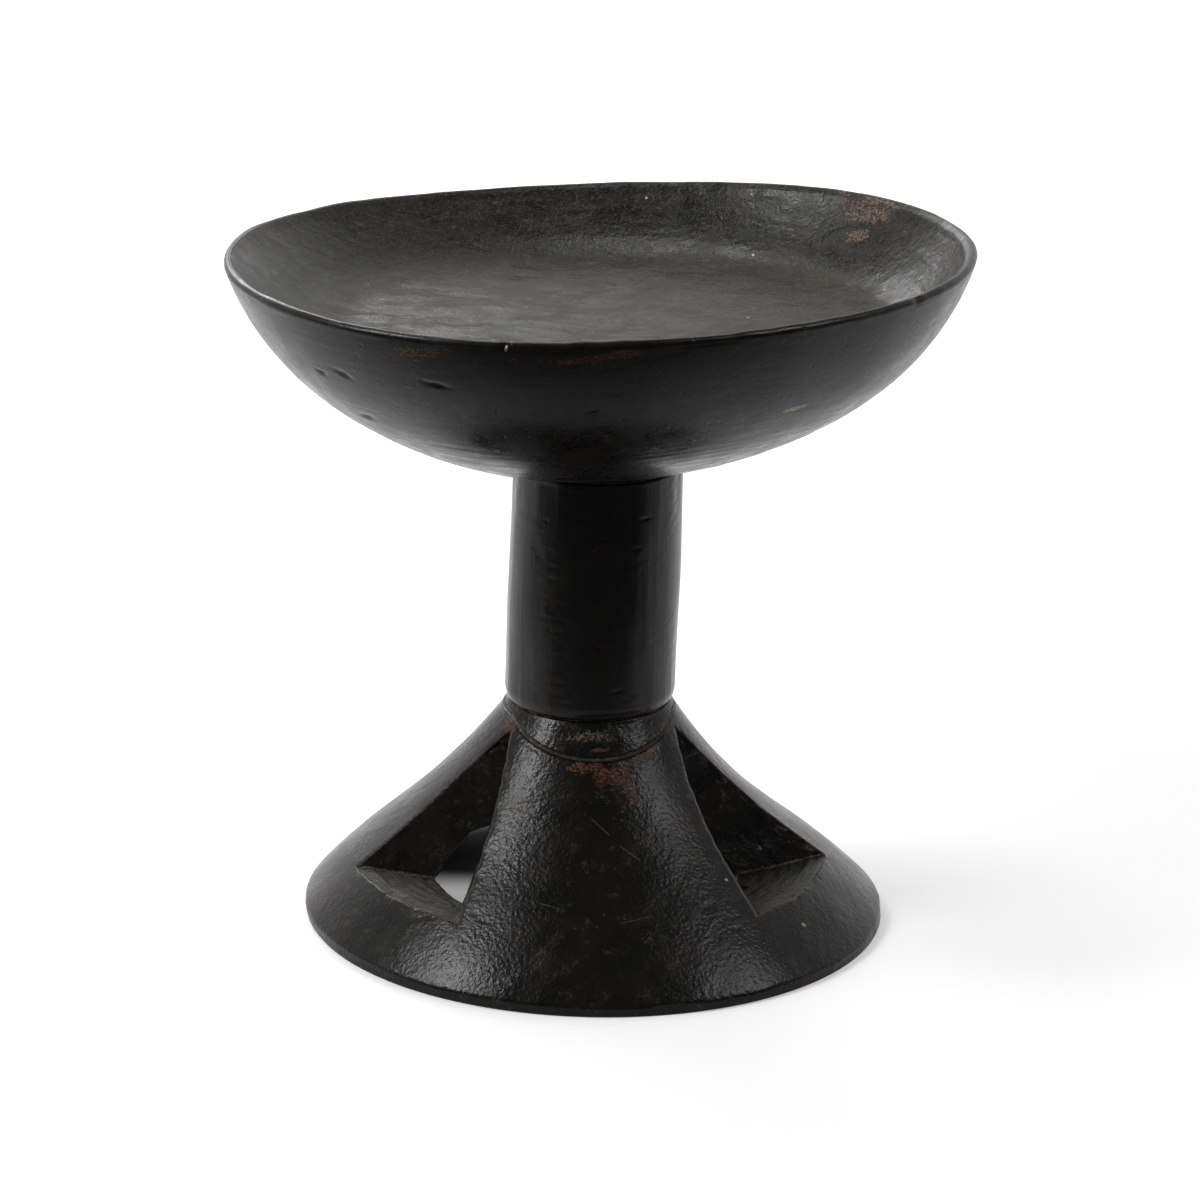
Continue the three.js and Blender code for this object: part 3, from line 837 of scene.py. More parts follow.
def relieve_foot():
    places, _ = read_points(foot)
    zone, to_edge = read_mark(foot, "zone"), read_mark(foot, "to_edge")
    height, radius = places[:, 2], np.hypot(places[:, 0], places[:, 1])
    on_skin, in_ledge, cheek, hollow, upright = (
        np.abs(zone - z) < 0.5 for z in (SKIN, LEDGE, CHEEK_FACE, HOLLOWED, UPRIGHT))
    ledge = in_ledge * (to_edge < FAR - 0.1)
    outside = np.maximum(on_skin, in_ledge * (1 - ledge))
    below_seat = smooth(0.2, 2.0, seat_height(places) - height)
    soft_edge = 0.35 + 0.65 * smooth(0.0, 5.0, to_edge)
    depth = outside * soft_edge * below_seat * (
        0.34 * rolling(places, 38, 21) + 0.12 * rolling(places, 13, 22)
        + 0.05 * strokes(places, -1, 60, 2.6, 17, 23, 0.008)
        + 0.03 * strokes(places, -1, 80, 1.5, 9, 24, 0.008))
    depth += ledge * (0.30 * strokes(places, -1, 84, 15, 1.7, 25) + 0.45 * rolling(places, 8, 26)
                      + 0.2 * rolling(places, 2.5, 27))
    depth += 0.35 * ledge * np.exp(-((to_edge - 5.5 - 2 * rolling(places, 9, 28)) / 1.3) ** 2)
    blows = scoops(np.stack([radius, height], 1) + 300, (15, 11), 29)
    depth += cheek * (0.55 * blows - 0.2 + 0.12 * rolling(places, 4, 30))
    depth -= cheek * smooth(64, 72, height) * (0.5 + 0.6 * rolling(places, 2.6, 31))
    blows = scoops(places[:, :2] + 400, 14, 32)
    depth += hollow * smooth(0, 4, height) * (1.1 * blows - 0.45 + 0.2 * rolling(places, 5, 33))
    chipped = np.exp(-(to_edge / 1.3) ** 2) * np.maximum(rolling(places, 3.2, 34), 0)
    depth -= 0.5 * (outside + cheek + ledge > 0) * chipped
    depth += upright * smooth(0.0, 1.5, height) * (
        0.35 * rolling(places * np.array([1, 1, 0.2]), 14, 35) + 0.2 * rolling(places, 5, 36))
    for a, b, c, d, e in scattered(60, 37):
        spot_radius, spot_height = FOOT_FLARE[int(60 + 420 * b)]
        spot = round_the_axis(spot_radius, a, spot_height)
        depth -= 0.3 * outside * dent(places, spot, 0.9 + 2.4 * c, 0.7 + 0.5 * d, 90 * e - 45)
    for x, y, z, length, width, lean in CHEEK_CRACKS:
        depth -= 0.35 * cheek * dent(places, (x, y, z), length, width, lean)
    push(foot, depth)


relieve_foot()

# %% Relief of the stem and the collar
STEM_TICKS = [(-18.7, -25.7, 87.4, 3.0), (-13.2, -28.7, 88.2, 2.6), (10.7, -27.7, 88.6, 3.4),
              (7.4, -28.8, 92.6, 1.6), (8.0, -29.2, 126.6, 3.4), (0.3, -31.1, 112.0, 2.2),
              (5.7, -29.6, 107.4, 2.8), (16.5, -25.6, 159.2, 2.2)]
TICK_WIDTH = 0.5


def relieve_stem():
    places, _ = read_points(stem)
    height = places[:, 2]
    ends = smooth(0.0, 3.0, height - STEM_TOE) * smooth(0.0, 3.0, STEM_HEAD - height)
    depth = 0.30 * strokes(places, 1, 31, 9, 42, 41) + 0.16 * rolling(places, 17, 42)
    depth += 0.09 * strokes(places, 1, 31, 3.6, 20, 48)
    torn = smooth(0.15, 0.6, rolling(places, 13, 49))
    depth += 0.07 * torn * rolling(places, (3.4, 3.4, 1.5), 43)
    for x, y, z, length in STEM_TICKS:
        depth -= 0.26 * dent(places, (x, y, z), length, TICK_WIDTH)
    for a, b, c, d, e in scattered(22, 44):
        spot = round_the_axis(31, a, 92 + 76 * b, -1.5)
        depth -= 0.15 * dent(places, spot, 0.8 + 2.0 * c, 0.45 + 0.2 * d, 30 * e - 15)
    push(stem, read_mark(stem, "shaft") * ends * depth)


def relieve_collar():
    places, _ = read_points(collar)
    top = smooth(0.1, 1.2, NECK_HEIGHT - places[:, 2])
    depth = 0.18 * rolling(places, 9, 46) + 0.10 * rolling(places, 3.2, 47)
    push(collar, read_mark(collar, "shown") * top * depth)


relieve_stem()
relieve_collar()

# %% [markdown]
# ## The black finish
#
# The wood is black from smoke, oil and charcoal, rubbed until it shines. The finish is built
# from small node groups, each one thing that a maker would name: blade strokes, a rubbed or
# broken spot, a scratch, specks of dust, hairlines, and the black skin itself. The woods then
# share those groups, and so they age alike. All positions are millimetres from the axis of the
# foot.

# %% A bench for laying out nodes
class Bench:
    """Adds nodes to one tree. Any value may be a number, a vector, a colour or an output."""

    def __init__(self, tree):
        self.tree = tree

    def plug(self, socket, value):
        if isinstance(value, bpy.types.NodeSocket):
            self.tree.links.new(value, socket)
        else:
            socket.default_value = value

    def put(self, kind, inputs, **settings):
        node = self.tree.nodes.new("ShaderNode" + kind)
        for name, value in settings.items():
            setattr(node, name, value)
        for name, value in inputs.items():
            self.plug(node.inputs[name], value)
        return node

    def math(self, work, *values, clamp=False):
        return self.put("Math", dict(enumerate(values)), operation=work,
                        use_clamp=clamp).outputs[0]

    times = partialmethod(math, "MULTIPLY")
    times_plus = partialmethod(math, "MULTIPLY_ADD")
    plus = partialmethod(math, "ADD")
    minus = partialmethod(math, "SUBTRACT")
    over = partialmethod(math, "DIVIDE")
    larger = partialmethod(math, "MAXIMUM")
    below = partialmethod(math, "LESS_THAN")

    def vector(self, work, *values, output="Vector"):
        return self.put("VectorMath", dict(enumerate(values)), operation=work).outputs[output]

    def dot(self, first, second):
        return self.vector("DOT_PRODUCT", first, second, output="Value")

    def scaled(self, vector, factor):
        return self.put("VectorMath", {0: vector, "Scale": factor}, operation="SCALE").outputs[0]

    def parts(self, vector):
        return self.put("SeparateXYZ", {"Vector": vector}).outputs

    def step(self, value, low, high):
        """0 below low and 1 above high, or the other way round when low is the greater."""
        return self.put("MapRange", {"Value": value, "From Min": low, "From Max": high},
                        interpolation_type="SMOOTHSTEP").outputs[0]

    def blend(self, share, first, second):
        """A colour between two, each written as red, green and blue, or an output."""
        node = self.put("Mix", {}, data_type="RGBA")
        for index, value in ((0, share), (6, first), (7, second)):
            self.plug(node.inputs[index], (*value, 1) if isinstance(value, tuple) else value)
        return node.outputs[2]

    def noise(self, place, size, detail=2.0, rough=0.5):
        """Noise from 0 to 1 whose lumps are about size millimetres across."""
        return self.put("TexNoise", {"Vector": place, "Scale": 1 / size, "Detail": detail,
                                     "Roughness": rough}).outputs[0]

    def use(self, group, **inputs):
        node = self.tree.nodes.new("ShaderNodeGroup")
        node.node_tree = group
        for name, value in inputs.items():
            self.plug(node.inputs[name.replace("_", " ")], value)
        return node.outputs

    def mark(self, name):
        return self.put("Attribute", {}, attribute_name=name).outputs["Fac"]

    def place(self):
        """The place on the piece, in millimetres from the axis of the foot."""
        place = self.put("TexCoord", {}).outputs["Object"]
        off_axis = self.vector("SUBTRACT", place, tuple(ORIGIN * MM))
        return self.vector("MULTIPLY", off_axis, (1 / MM, 1 / MM, 1 / MM))

    def most(self, masks):
        return reduce(self.larger, masks)


def new_group(name, inputs, outputs):
    """An empty group, with its bench, its inputs and its outputs by name."""
    group = bpy.data.node_groups.new(name, "ShaderNodeTree")
    for socket, (kind, value) in inputs.items():
        made = group.interface.new_socket(name=socket, in_out="INPUT",
                                          socket_type="NodeSocket" + kind)
        made.default_value = value
    for socket, kind in outputs.items():
        group.interface.new_socket(name=socket, in_out="OUTPUT",
                                   socket_type="NodeSocket" + kind)
    entry, leave = group.nodes.new("NodeGroupInput"), group.nodes.new("NodeGroupOutput")
    print(f"group {name}: {', '.join(inputs)} in, {', '.join(outputs)} out")
    return group, Bench(group), entry.outputs, leave.inputs


# %% Node group: blade strokes
# Around is a stroke's size round the axis at the radius of the core, and Along its size up the
# section. Rise is 1 where the section climbs as it goes outwards, and -1 where it falls.
stroke_group, bench, entry, leave = new_group(
    "blade_strokes", {"Around": ("Float", 2.0), "Along": ("Float", 12.0),
                      "Rise": ("Float", 1.0), "Core": ("Float", 80.0)}, {"Height": "Float"})
place = bench.place()
flat = bench.vector("MULTIPLY", place, (1, 1, 0))
ring = bench.scaled(bench.vector("NORMALIZE", flat), bench.over(entry["Core"], entry["Around"]))
way = bench.times_plus(bench.parts(place)["Z"], entry["Rise"],
                       bench.vector("LENGTH", flat, output="Value"))
along = bench.put("CombineXYZ", {"Z": bench.over(way, entry["Along"])}).outputs[0]
lump = bench.noise(bench.vector("ADD", ring, along), 1.0, 1.5, 0.45)
bench.plug(leave["Height"], bench.times_plus(lump, 2.0, -1.0))

# %% Node group: a rubbed or broken spot
# The spot is long in one direction and narrow across it, with an edge that crumbles.
spot_group, bench, entry, leave = new_group(
    "ragged_spot", {"Centre": ("Vector", (0, 0, 0)), "Long Way": ("Vector", (1, 0, 0)),
                    "Half Length": ("Float", 3.0), "Half Width": ("Float", 1.0),
                    "Ragged": ("Float", 0.8), "Crumb": ("Float", 0.5)}, {"Mask": "Float"})
away = bench.vector("SUBTRACT", bench.place(), entry["Centre"])
along = bench.dot(away, bench.vector("NORMALIZE", entry["Long Way"]))
across = bench.minus(bench.dot(away, away), bench.times(along, along))
along = bench.over(along, entry["Half Length"])
across = bench.over(across, bench.times(entry["Half Width"], entry["Half Width"]))
reach = bench.math("SQRT", bench.times_plus(along, along, across))
rough = bench.times(bench.minus(entry["Crumb"], 0.5), entry["Ragged"])
bench.plug(leave["Mask"], bench.step(bench.times_plus(rough, 4.0, reach), 1.15, 0.75))

# %% Node group: a scratch
scratch_group, bench, entry, leave = new_group(
    "scratch", {"Start": ("Vector", (0, 0, 0)), "End": ("Vector", (1, 0, 0)),
                "Half Width": ("Float", 0.3), "Crumb": ("Float", 0.5)}, {"Mask": "Float"})
line = bench.vector("SUBTRACT", entry["End"], entry["Start"])
away = bench.vector("SUBTRACT", bench.place(), entry["Start"])
share = bench.over(bench.dot(away, line), bench.dot(line, line), clamp=True)
gap = bench.vector("DISTANCE", away, bench.scaled(line, share), output="Value")
gap = bench.plus(bench.over(gap, entry["Half Width"]),
                 bench.times_plus(entry["Crumb"], 1.6, -0.8))
taper = bench.step(bench.times(share, bench.minus(1.0, share)), -0.05, 0.12)
bench.plug(leave["Mask"], bench.times(bench.step(gap, 1.3, 0.3), taper))

# %% Node group: specks of dust
speck_group, bench, entry, leave = new_group(
    "dust_specks", {"Size": ("Float", 6.0), "Share": ("Float", 0.3)}, {"Mask": "Float"})
cells = bench.put("TexVoronoi", {"Vector": bench.place(), "Scale": bench.over(1.0, entry["Size"])})
luck = bench.put("SeparateColor", {"Color": cells.outputs["Color"]}).outputs
chosen = bench.below(luck["Red"], entry["Share"])
near = bench.below(cells.outputs["Distance"], bench.times_plus(luck["Green"], 0.06, 0.045))
bench.plug(leave["Mask"], bench.times(chosen, near))

# %% Node group: hairline scratches
# A thin line wherever stretched noise crosses its middle value: long, faint and never straight.
hair_group, bench, entry, leave = new_group(
    "hairline_scratches", {"Lean": ("Vector", (1, 0, 1)), "Amount": ("Float", 0.5)},
    {"Mask": "Float"})
place = bench.place()
lean = bench.vector("NORMALIZE", entry["Lean"])
shrink = bench.scaled(lean, bench.times(bench.dot(place, lean), 0.93))
drawn = bench.noise(bench.vector("SUBTRACT", place, shrink), 1.3, 1.0, 0.5)
line = bench.step(bench.math("ABSOLUTE", bench.minus(drawn, 0.5)), 0.045, 0.012)
where = bench.plus(bench.noise(place, 5.5, 2.0, 0.6), bench.times_plus(entry["Amount"], 0.4, -0.4))
bench.plug(leave["Mask"], bench.times(line, bench.step(where, 0.38, 0.52)))

# %% [markdown]
# ### The black skin
#
# On the real plate the black isn't one colour. It is cooler where it is thick and polished, a
# little brown where it is thin, grey where dust sits in the tool marks, and where it has chipped
# off, the bare wood shows as a mixture of tan fibres and black pores. Gloss follows the same
# map: polished black is smooth, dust and bare wood are dull.

# %% Node group: the black skin
THICK_BLACK, THIN_BLACK = (0.0074, 0.0072, 0.0066), (0.0102, 0.0096, 0.0082)
RUBBED_IN_DUST = (0.088, 0.086, 0.068)
OILED_BROWN, WORN_BROWN = (0.020, 0.010, 0.007), (0.150, 0.068, 0.036)
PORES, FIBRES = (0.035, 0.024, 0.017), (0.260, 0.190, 0.145)
DULL_CRUMB, PALE_CRUMB = (0.420, 0.360, 0.270), (0.860, 0.800, 0.680)
skin_group, bench, entry, leave = new_group(
    "black_skin", {name: ("Float", 0.0) for name in ("Dust", "Brown", "Bare", "Pale", "Fibre")},
    {"Color": "Color", "Roughness": "Float", "Height": "Float"})
place = bench.place()
tone = bench.step(bench.noise(place, 13.0, 3.0, 0.6), 0.33, 0.67)
speckle = bench.noise(place, 0.9, 2.0, 0.6)
fleck = bench.step(bench.times_plus(entry["Fibre"], 0.12, speckle), 0.40, 0.66)
dustiness = bench.times(entry["Dust"], bench.times_plus(speckle, 0.9, 0.2))
color = bench.blend(dustiness, bench.blend(tone, THICK_BLACK, THIN_BLACK), RUBBED_IN_DUST)
for mask, dark, light in (("Brown", OILED_BROWN, WORN_BROWN), ("Bare", PORES, FIBRES),
                          ("Pale", DULL_CRUMB, PALE_CRUMB)):
    color = bench.blend(entry[mask], color, bench.blend(fleck, dark, light))
bench.plug(leave["Color"], color)
gloss = bench.times_plus(tone, 0.07, 0.20)
for layer, more in ((speckle, 0.10), (entry["Dust"], 0.14), (entry["Brown"], 0.12)):
    gloss = bench.times_plus(layer, more, gloss)
dull = bench.larger(entry["Bare"], entry["Pale"])
bench.plug(leave["Roughness"], bench.times_plus(dull, 0.35, gloss, clamp=True))
bench.plug(leave["Height"], bench.times_plus(bench.times(fleck, dull), 0.12,
                                             bench.times(speckle, 0.02)))

# %% Putting a material together
GLOSS = 0.21    # how strongly the waxed black skin reflects, as the shader counts it


def start_material(name):
    material = bpy.data.materials.new(name)
    material.use_nodes = True
    return material, Bench(material.node_tree)


def finish_material(name, bench, color, roughness, height):
    """Ends a material: the shader's three live inputs, and relief in millimetres."""
    shader = bench.tree.nodes["Principled BSDF"]
    bench.plug(shader.inputs["Base Color"], color)
    bench.plug(shader.inputs["Roughness"], roughness)
    shader.inputs["Specular IOR Level"].default_value = GLOSS
    bump = bench.put("Bump", {"Height": height, "Distance": MM, "Strength": 1.0})
    bench.plug(shader.inputs["Normal"], bump.outputs["Normal"])
    print(f"{name}: {len(bench.tree.nodes)} nodes")


def add_layers(bench, total, layers):
    """Adds each layer times its amount, which for a height is its depth in millimetres."""
    for layer, amount in layers:
        total = bench.times_plus(layer, amount, total)
    return total


def spots(bench, crumb, rows, ragged):
    """One mask for several spots: centre, long way, half length and half width."""
    return bench.most([bench.use(spot_group, Centre=centre, Long_Way=way, Half_Length=length,
                                 Half_Width=width, Ragged=ragged, Crumb=crumb)["Mask"]
                       for centre, way, length, width in rows])


def scratches(bench, crumb, rows):
    return bench.most([bench.use(scratch_group, Start=start, End=end, Half_Width=width,
                                 Crumb=crumb)["Mask"] for start, end, width in rows])


def on_skin(turn, height):
    """A point of the foot's skin at an azimuth in degrees."""
    return tuple(float(c) for c in neck_point(height, math.radians(turn)))


print("The front of the foot, 50 mm up, is at", [round(c, 1) for c in on_skin(0, 50)])

# %% [markdown]
# ### The plate's wood
#
# The inside is grey with rubbed-in dust and mottled where food and hands have polished it
# unevenly. The strokes of the blade run round the bowl. The rim is worn in one place at the
# back down to tan wood, a pale chip shows under the bowl, and a thin brown line runs under the
# lip where the finger tips go.

# %% Plate wood: where it is worn
WORN_RIM = [((99.5, 76.6, 250.0), (0.77, -0.63, 0.15), 13.0, 5.6),
            ((94.6, 71.9, 241.2), (0.85, -0.5, 0.2), 5.4, 2.6),
            ((90.5, 88.0, 254.0), (0.7, -0.7, 0.0), 3.0, 1.4)]
PALE_BREAKS = [((66.8, -78.7, 215.8), (0.79, 0.61, 0.14), 5.6, 1.25),
               ((-31.5, -128.1, 249.0), (0.2, 0, 1), 1.7, 0.5)]
DULL_NICKS = [((108.4, -61.8, 250.6), (0.5, 0.8, 0), 2.2, 1.0)]
BROWN_LINE = [((-60.4, -119.2, 244.8), (0.89, -0.45, 0.1), 14.0, 1.8),
              ((1.5, -126.8, 245.8), (1, 0.05, 0.1), 18.0, 1.6),
              ((-28.0, -125.5, 244.5), (1, -0.1, 0.05), 9.0, 1.4),
              ((-86.0, 48.0, 226.0), (0.6, 0.7, 0.3), 7.0, 0.5),
              ((70.0, -106.0, 243.5), (0.84, 0.54, 0.0), 11.0, 0.8)]
CRUMBS_INSIDE = [((16.5, 115.2, 244.4), (0, 0, 1), 0.8, 0.5),
                 ((56.3, 105.5, 248.7), (1, -1, 0), 0.7, 0.4),
                 ((56.9, 86.3, 229.5), (1, 0, 0), 0.6, 0.6),
                 ((103.8, 39.0, 228.6), (0, 1, 0), 0.5, 0.4),
                 ((53.0, 12.5, 224.3), (1, 0, 0), 0.5, 0.4)]
print("Worn spots:", len(WORN_RIM + PALE_BREAKS + DULL_NICKS + BROWN_LINE + CRUMBS_INSIDE))

# %% Plate wood
plate_wood, bench = start_material("waxed_plate_black")
place = bench.place()
inner, lip, to_floor = (bench.mark(m) for m in ("inner", "lip", "to_floor"))
strokes_fine = bench.use(stroke_group, Around=6.0, Along=0.8, Rise=1.0, Core=100.0)["Height"]
strokes_broad = bench.use(stroke_group, Around=26.0, Along=2.6, Rise=1.0, Core=90.0)["Height"]
patch = bench.noise(place, 9.0, 3.0, 0.62)
crumb = bench.noise(place, 2.0, 3.0, 0.65)
wide_place = bench.vector("MULTIPLY", place, (0.5, 1, 1))
floor_part = bench.step(to_floor, 0.75, 1.0)
islands = bench.step(bench.noise(wide_place, 12.0, 5.0, 0.66), 0.45, 0.55)
islands = bench.times(islands, floor_part)
blots = bench.step(bench.noise(wide_place, 4.5, 3.0, 0.6), 0.60, 0.50)
grit = bench.step(bench.noise(place, 0.7, 1.0, 0.5), 0.52, 0.70)
# dust: more on the floor, where it lies in islands and blots, and caught by each mark
dust = bench.times_plus(floor_part, 0.16, bench.times(inner, 0.30))
for layer, gain, least in ((islands, 0.75, 0.42), (blots, 0.45, 0.72),
                           (bench.step(crumb, 0.3, 0.7), 1.0, 0.6)):
    dust = bench.times(dust, bench.times_plus(layer, gain, least))
lines = bench.times(bench.step(strokes_fine, 0.42, 0.6), inner)
dust = bench.larger(dust, bench.times(lines, 0.8))
dust = bench.times_plus(bench.times(grit, inner), 0.6, dust)
hairs = bench.use(hair_group, Lean=(0.8, 0.5, 0.3), Amount=0.55)["Mask"]
specks = bench.use(speck_group, Size=11.0, Share=0.10)["Mask"]
dust = bench.most([dust, bench.times(hairs, bench.times_plus(inner, 0.7, 0.25)),
                   bench.times(bench.step(patch, 0.35, 0.7), 0.07), bench.times(specks, 0.6)])
rubbed_lip = bench.times(lip, bench.step(bench.noise(place, 5.0, 3.0), 0.60, 0.75))
brown = bench.larger(bench.times(spots(bench, crumb, BROWN_LINE + DULL_NICKS, 0.8), 0.8),
                     bench.times(rubbed_lip, 0.35))
bare = bench.times(spots(bench, crumb, WORN_RIM, 0.5), 0.85)
pale = bench.larger(spots(bench, crumb, PALE_BREAKS, 0.2), spots(bench, crumb, CRUMBS_INSIDE, 0.3))
black = bench.use(skin_group, Dust=dust, Brown=brown, Bare=bare, Pale=pale, Fibre=strokes_fine)
# relief: the strokes are fainter inside, where the ripples and crumbs of wear take over
cuts = bench.times_plus(strokes_fine, 0.012, bench.times(strokes_broad, 0.014))
height = bench.times(cuts, bench.times_plus(inner, -0.45, 1.0))
height = add_layers(bench, height, (
    (bench.step(bench.noise(place, 2.4, 2.0, 0.5), 0.36, 0.26), -0.07), (patch, 0.08),
    (bench.times(bench.noise(wide_place, 5.0, 2.0, 0.5), inner), 0.30),
    (bench.times(crumb, inner), 0.20), (hairs, -0.03), (black["Height"], 1.0)))
gloss = add_layers(bench, black["Roughness"], (
    (bench.minus(patch, 0.5), 0.20), (islands, 0.26), (bench.times(blots, inner), 0.06),
    (inner, -0.03)))
finish_material("plate", bench, black["Color"], gloss, height)

# %% [markdown]
# ### The foot's wood
#
# The foot was cut with small blows and never scraped, so its skin is pebbled, and each pebble
# catches the light on its own. The ledges of the notches are rough torn fibre, paler towards
# the left. The edges of the notches are rubbed to a thin tan line. The collar
# was one piece with the foot, so it takes this finish too.

# %% Foot wood: where it is worn and cut
RUBBED = [((-8.5, -39.9, 68.6), (1, -0.1, -0.2), 2.6, 1.0),
          ((6.0, -36.0, 75.0), (1, 0.1, 0.0), 7.0, 1.2),
          ((36.0, -33.0, 57.0), (0.5, 0.8, -0.2), 4.0, 1.6),
          ((-4.5, -39.8, 69.0), (1, -0.2, 0.1), 5.5, 2.2),
          ((7.4, -41.2, 66.4), (1, 0.1, -0.2), 9.5, 4.4),
          ((12.5, -43.2, 62.6), (0.3, -0.4, -1), 5.0, 2.8),
          ((20.5, -28.5, 73.5), (0.8, 0.6, 0.1), 4.5, 1.6),
          ((-31.5, -16.9, 77.5), (0.3, -0.9, 0), 6.0, 2.6),
          ((26.5, -17.0, 78.0), (0.5, 0.85, 0), 6.0, 2.2),
          ((1.5, -35.6, 74.5), (1, 0, 0.1), 2.6, 0.8),
          ((47.5, -8.2, 54.2), (0.6, 0.1, -0.8), 2.6, 0.8)]
GRANULAR = [((17.3, -32.9, 70.9), (1, 0.5, 0.1), 4.4, 1.5),
            ((-1.0, -33.5, 79.0), (1, 0.05, 0.05), 12.0, 1.9),
            ((11.0, -36.5, 69.6), (1, 0.3, -0.2), 3.0, 0.9),
            ((22.8, -22.9, 76.8), (0.7, 0.7, 0.1), 2.6, 1.1),
            ((29.5, -28.8, 62.8), (0.7, 0.6, -0.2), 2.4, 0.8)]
PALE_FOOT = [((47.6, -56.2, 32.8), (1, 1, 0), 0.9, 0.6),
             ((76.2, -56.1, 15.7), (1, 0, 0), 1.0, 0.7),
             ((-49.7, -23.2, 33.0), (0.7, 0.1, 0.7), 5.0, 0.5)]
# cuts that run round the neck: azimuth, height, half length in degrees, tilt and half width
CUTS_ACROSS = [
    (-18.5, 68.6, 3.2, 0.4, 0.24), (-20.5, 66.8, 4.4, 0.2, 0.30), (-17.5, 64.9, 3.2, 0.5, 0.22),
    (-22.5, 63.4, 4.8, 0.1, 0.30), (-24.5, 61.3, 5.6, 0.3, 0.34), (-21.5, 59.6, 3.6, -0.2, 0.22),
    (-25.5, 57.4, 3.2, 0.9, 0.26), (-27.5, 54.6, 4.0, -0.3, 0.30), (-24.5, 52.3, 2.08, 1.1, 0.20),
    (-22.5, 49.8, 2.88, 0.8, 0.24), (-25.5, 46.9, 2.24, 1.3, 0.20), (-23.5, 43.4, 3.2, 0.6, 0.24)]
HATCH = [(on_skin(turn - half, low - tilt), on_skin(turn + half, low + tilt), width)
         for turn, low, half, tilt, width in CUTS_ACROSS]
# single scratches, from one azimuth and height to another
LONG_SCRATCHES = [
    ((2, 54.5), (9, 49.5), 0.22), ((12, 46.5), (18, 42.0), 0.26), ((-8, 41.0), (-2, 36.5), 0.20),
    ((22, 50.0), (25, 41.0), 0.20), ((35, 45.0), (40, 37.5), 0.24), ((40, 60.0), (52, 56.5), 0.28),
    ((-14, 31.0), (-6, 29.5), 0.22), ((8, 26.0), (17, 27.5), 0.20), ((28, 34.0), (31, 28.0), 0.22),
    ((-3, 61.0), (3, 58.5), 0.20)]
SLANTED = [(on_skin(*start), on_skin(*end), width) for start, end, width in LONG_SCRATCHES]
print(len(HATCH), "cuts across the neck and", len(SLANTED), "long scratches")

# %% Foot wood
foot_wood, bench = start_material("pebbled_foot_black")
place = bench.place()
to_edge, zone, crease = (bench.mark(m) for m in ("to_edge", "zone", "to_crease"))
ledge = bench.times(bench.math("COMPARE", zone, LEDGE, 0.4), bench.below(to_edge, FAR - 0.2))
cheek = bench.math("COMPARE", zone, CHEEK_FACE, 0.4)
fibre_ledge = bench.use(stroke_group, Around=14.0, Along=0.9, Rise=-1.0, Core=84.0)["Height"]
strokes_fine = bench.use(stroke_group, Around=1.3, Along=9.0, Rise=-1.0, Core=60.0)["Height"]
left = bench.step(bench.parts(place)["X"], 20.0, -20.0)
torn = bench.noise(place, 3.4, 4.0, 0.65)
crumb = bench.noise(place, 1.3, 3.0, 0.65)
cut_across = scratches(bench, torn, HATCH)
scored = bench.larger(cut_across, scratches(bench, torn, SLANTED))
hairs = bench.larger(bench.use(hair_group, Lean=(1, 0.2, -0.9), Amount=0.62)["Mask"],
                     bench.use(hair_group, Lean=(0.7, 0.1, 1.2), Amount=0.5)["Mask"])
specks = bench.use(speck_group, Size=3.6, Share=0.30)["Mask"]
# the ledges' dust grows towards the left
ledge_dust = bench.times(bench.times(ledge, bench.times_plus(left, 0.75, 0.28)),
                         bench.step(torn, 0.25, 0.55))
cheek_dust = bench.times(cheek, bench.times(bench.step(torn, 0.52, 0.72), 0.16))
dust = bench.most([ledge_dust, cheek_dust, bench.times(hairs, 0.55), bench.times(specks, 0.8),
                   scored])
worn_edge = bench.step(bench.times_plus(torn, 1.6, to_edge), 1.35, 0.75)
tan_line = bench.step(bench.times_plus(torn, 2.4, crease), 2.1, 1.2)
thin_skin = bench.step(bench.noise(place, 22.0, 3.0), 0.58, 0.70)
brown = bench.most([bench.times(spots(bench, torn, RUBBED, 0.7), 0.9),
                    bench.times(worn_edge, 0.75), bench.times(thin_skin, 0.10)])
bare = bench.larger(bench.times(spots(bench, crumb, GRANULAR, 1.0), 0.55),
                    bench.times(tan_line, 0.30))
# the cuts across the neck are partly pale scratched wood and partly a painted glint, made paler to
# show in the highlight
pale = bench.larger(bench.times(spots(bench, crumb, PALE_FOOT, 0.5), 0.7),
                    bench.times(cut_across, 0.16))
black = bench.use(skin_group, Dust=dust, Brown=brown, Bare=bare, Pale=pale, Fibre=fibre_ledge)
height = add_layers(bench, bench.times(bench.noise(place, 1.5, 1.5, 0.5), 0.20), (
    (bench.noise(place, 4.2, 2.0, 0.5), 0.09), (strokes_fine, 0.02),
    (bench.times(ledge, fibre_ledge), 0.25), (scored, -0.12), (black["Height"], 1.0)))
finish_material("foot", bench, black["Color"],
                bench.times_plus(ledge, 0.2, black["Roughness"]), height)

# %% [markdown]
# ### The stem's wood
#
# The stem is where the hand holds the plate, so it is the blackest and the smoothest part. Only
# short nicks across it, a few light scratches and the faint strokes along it break the shine.

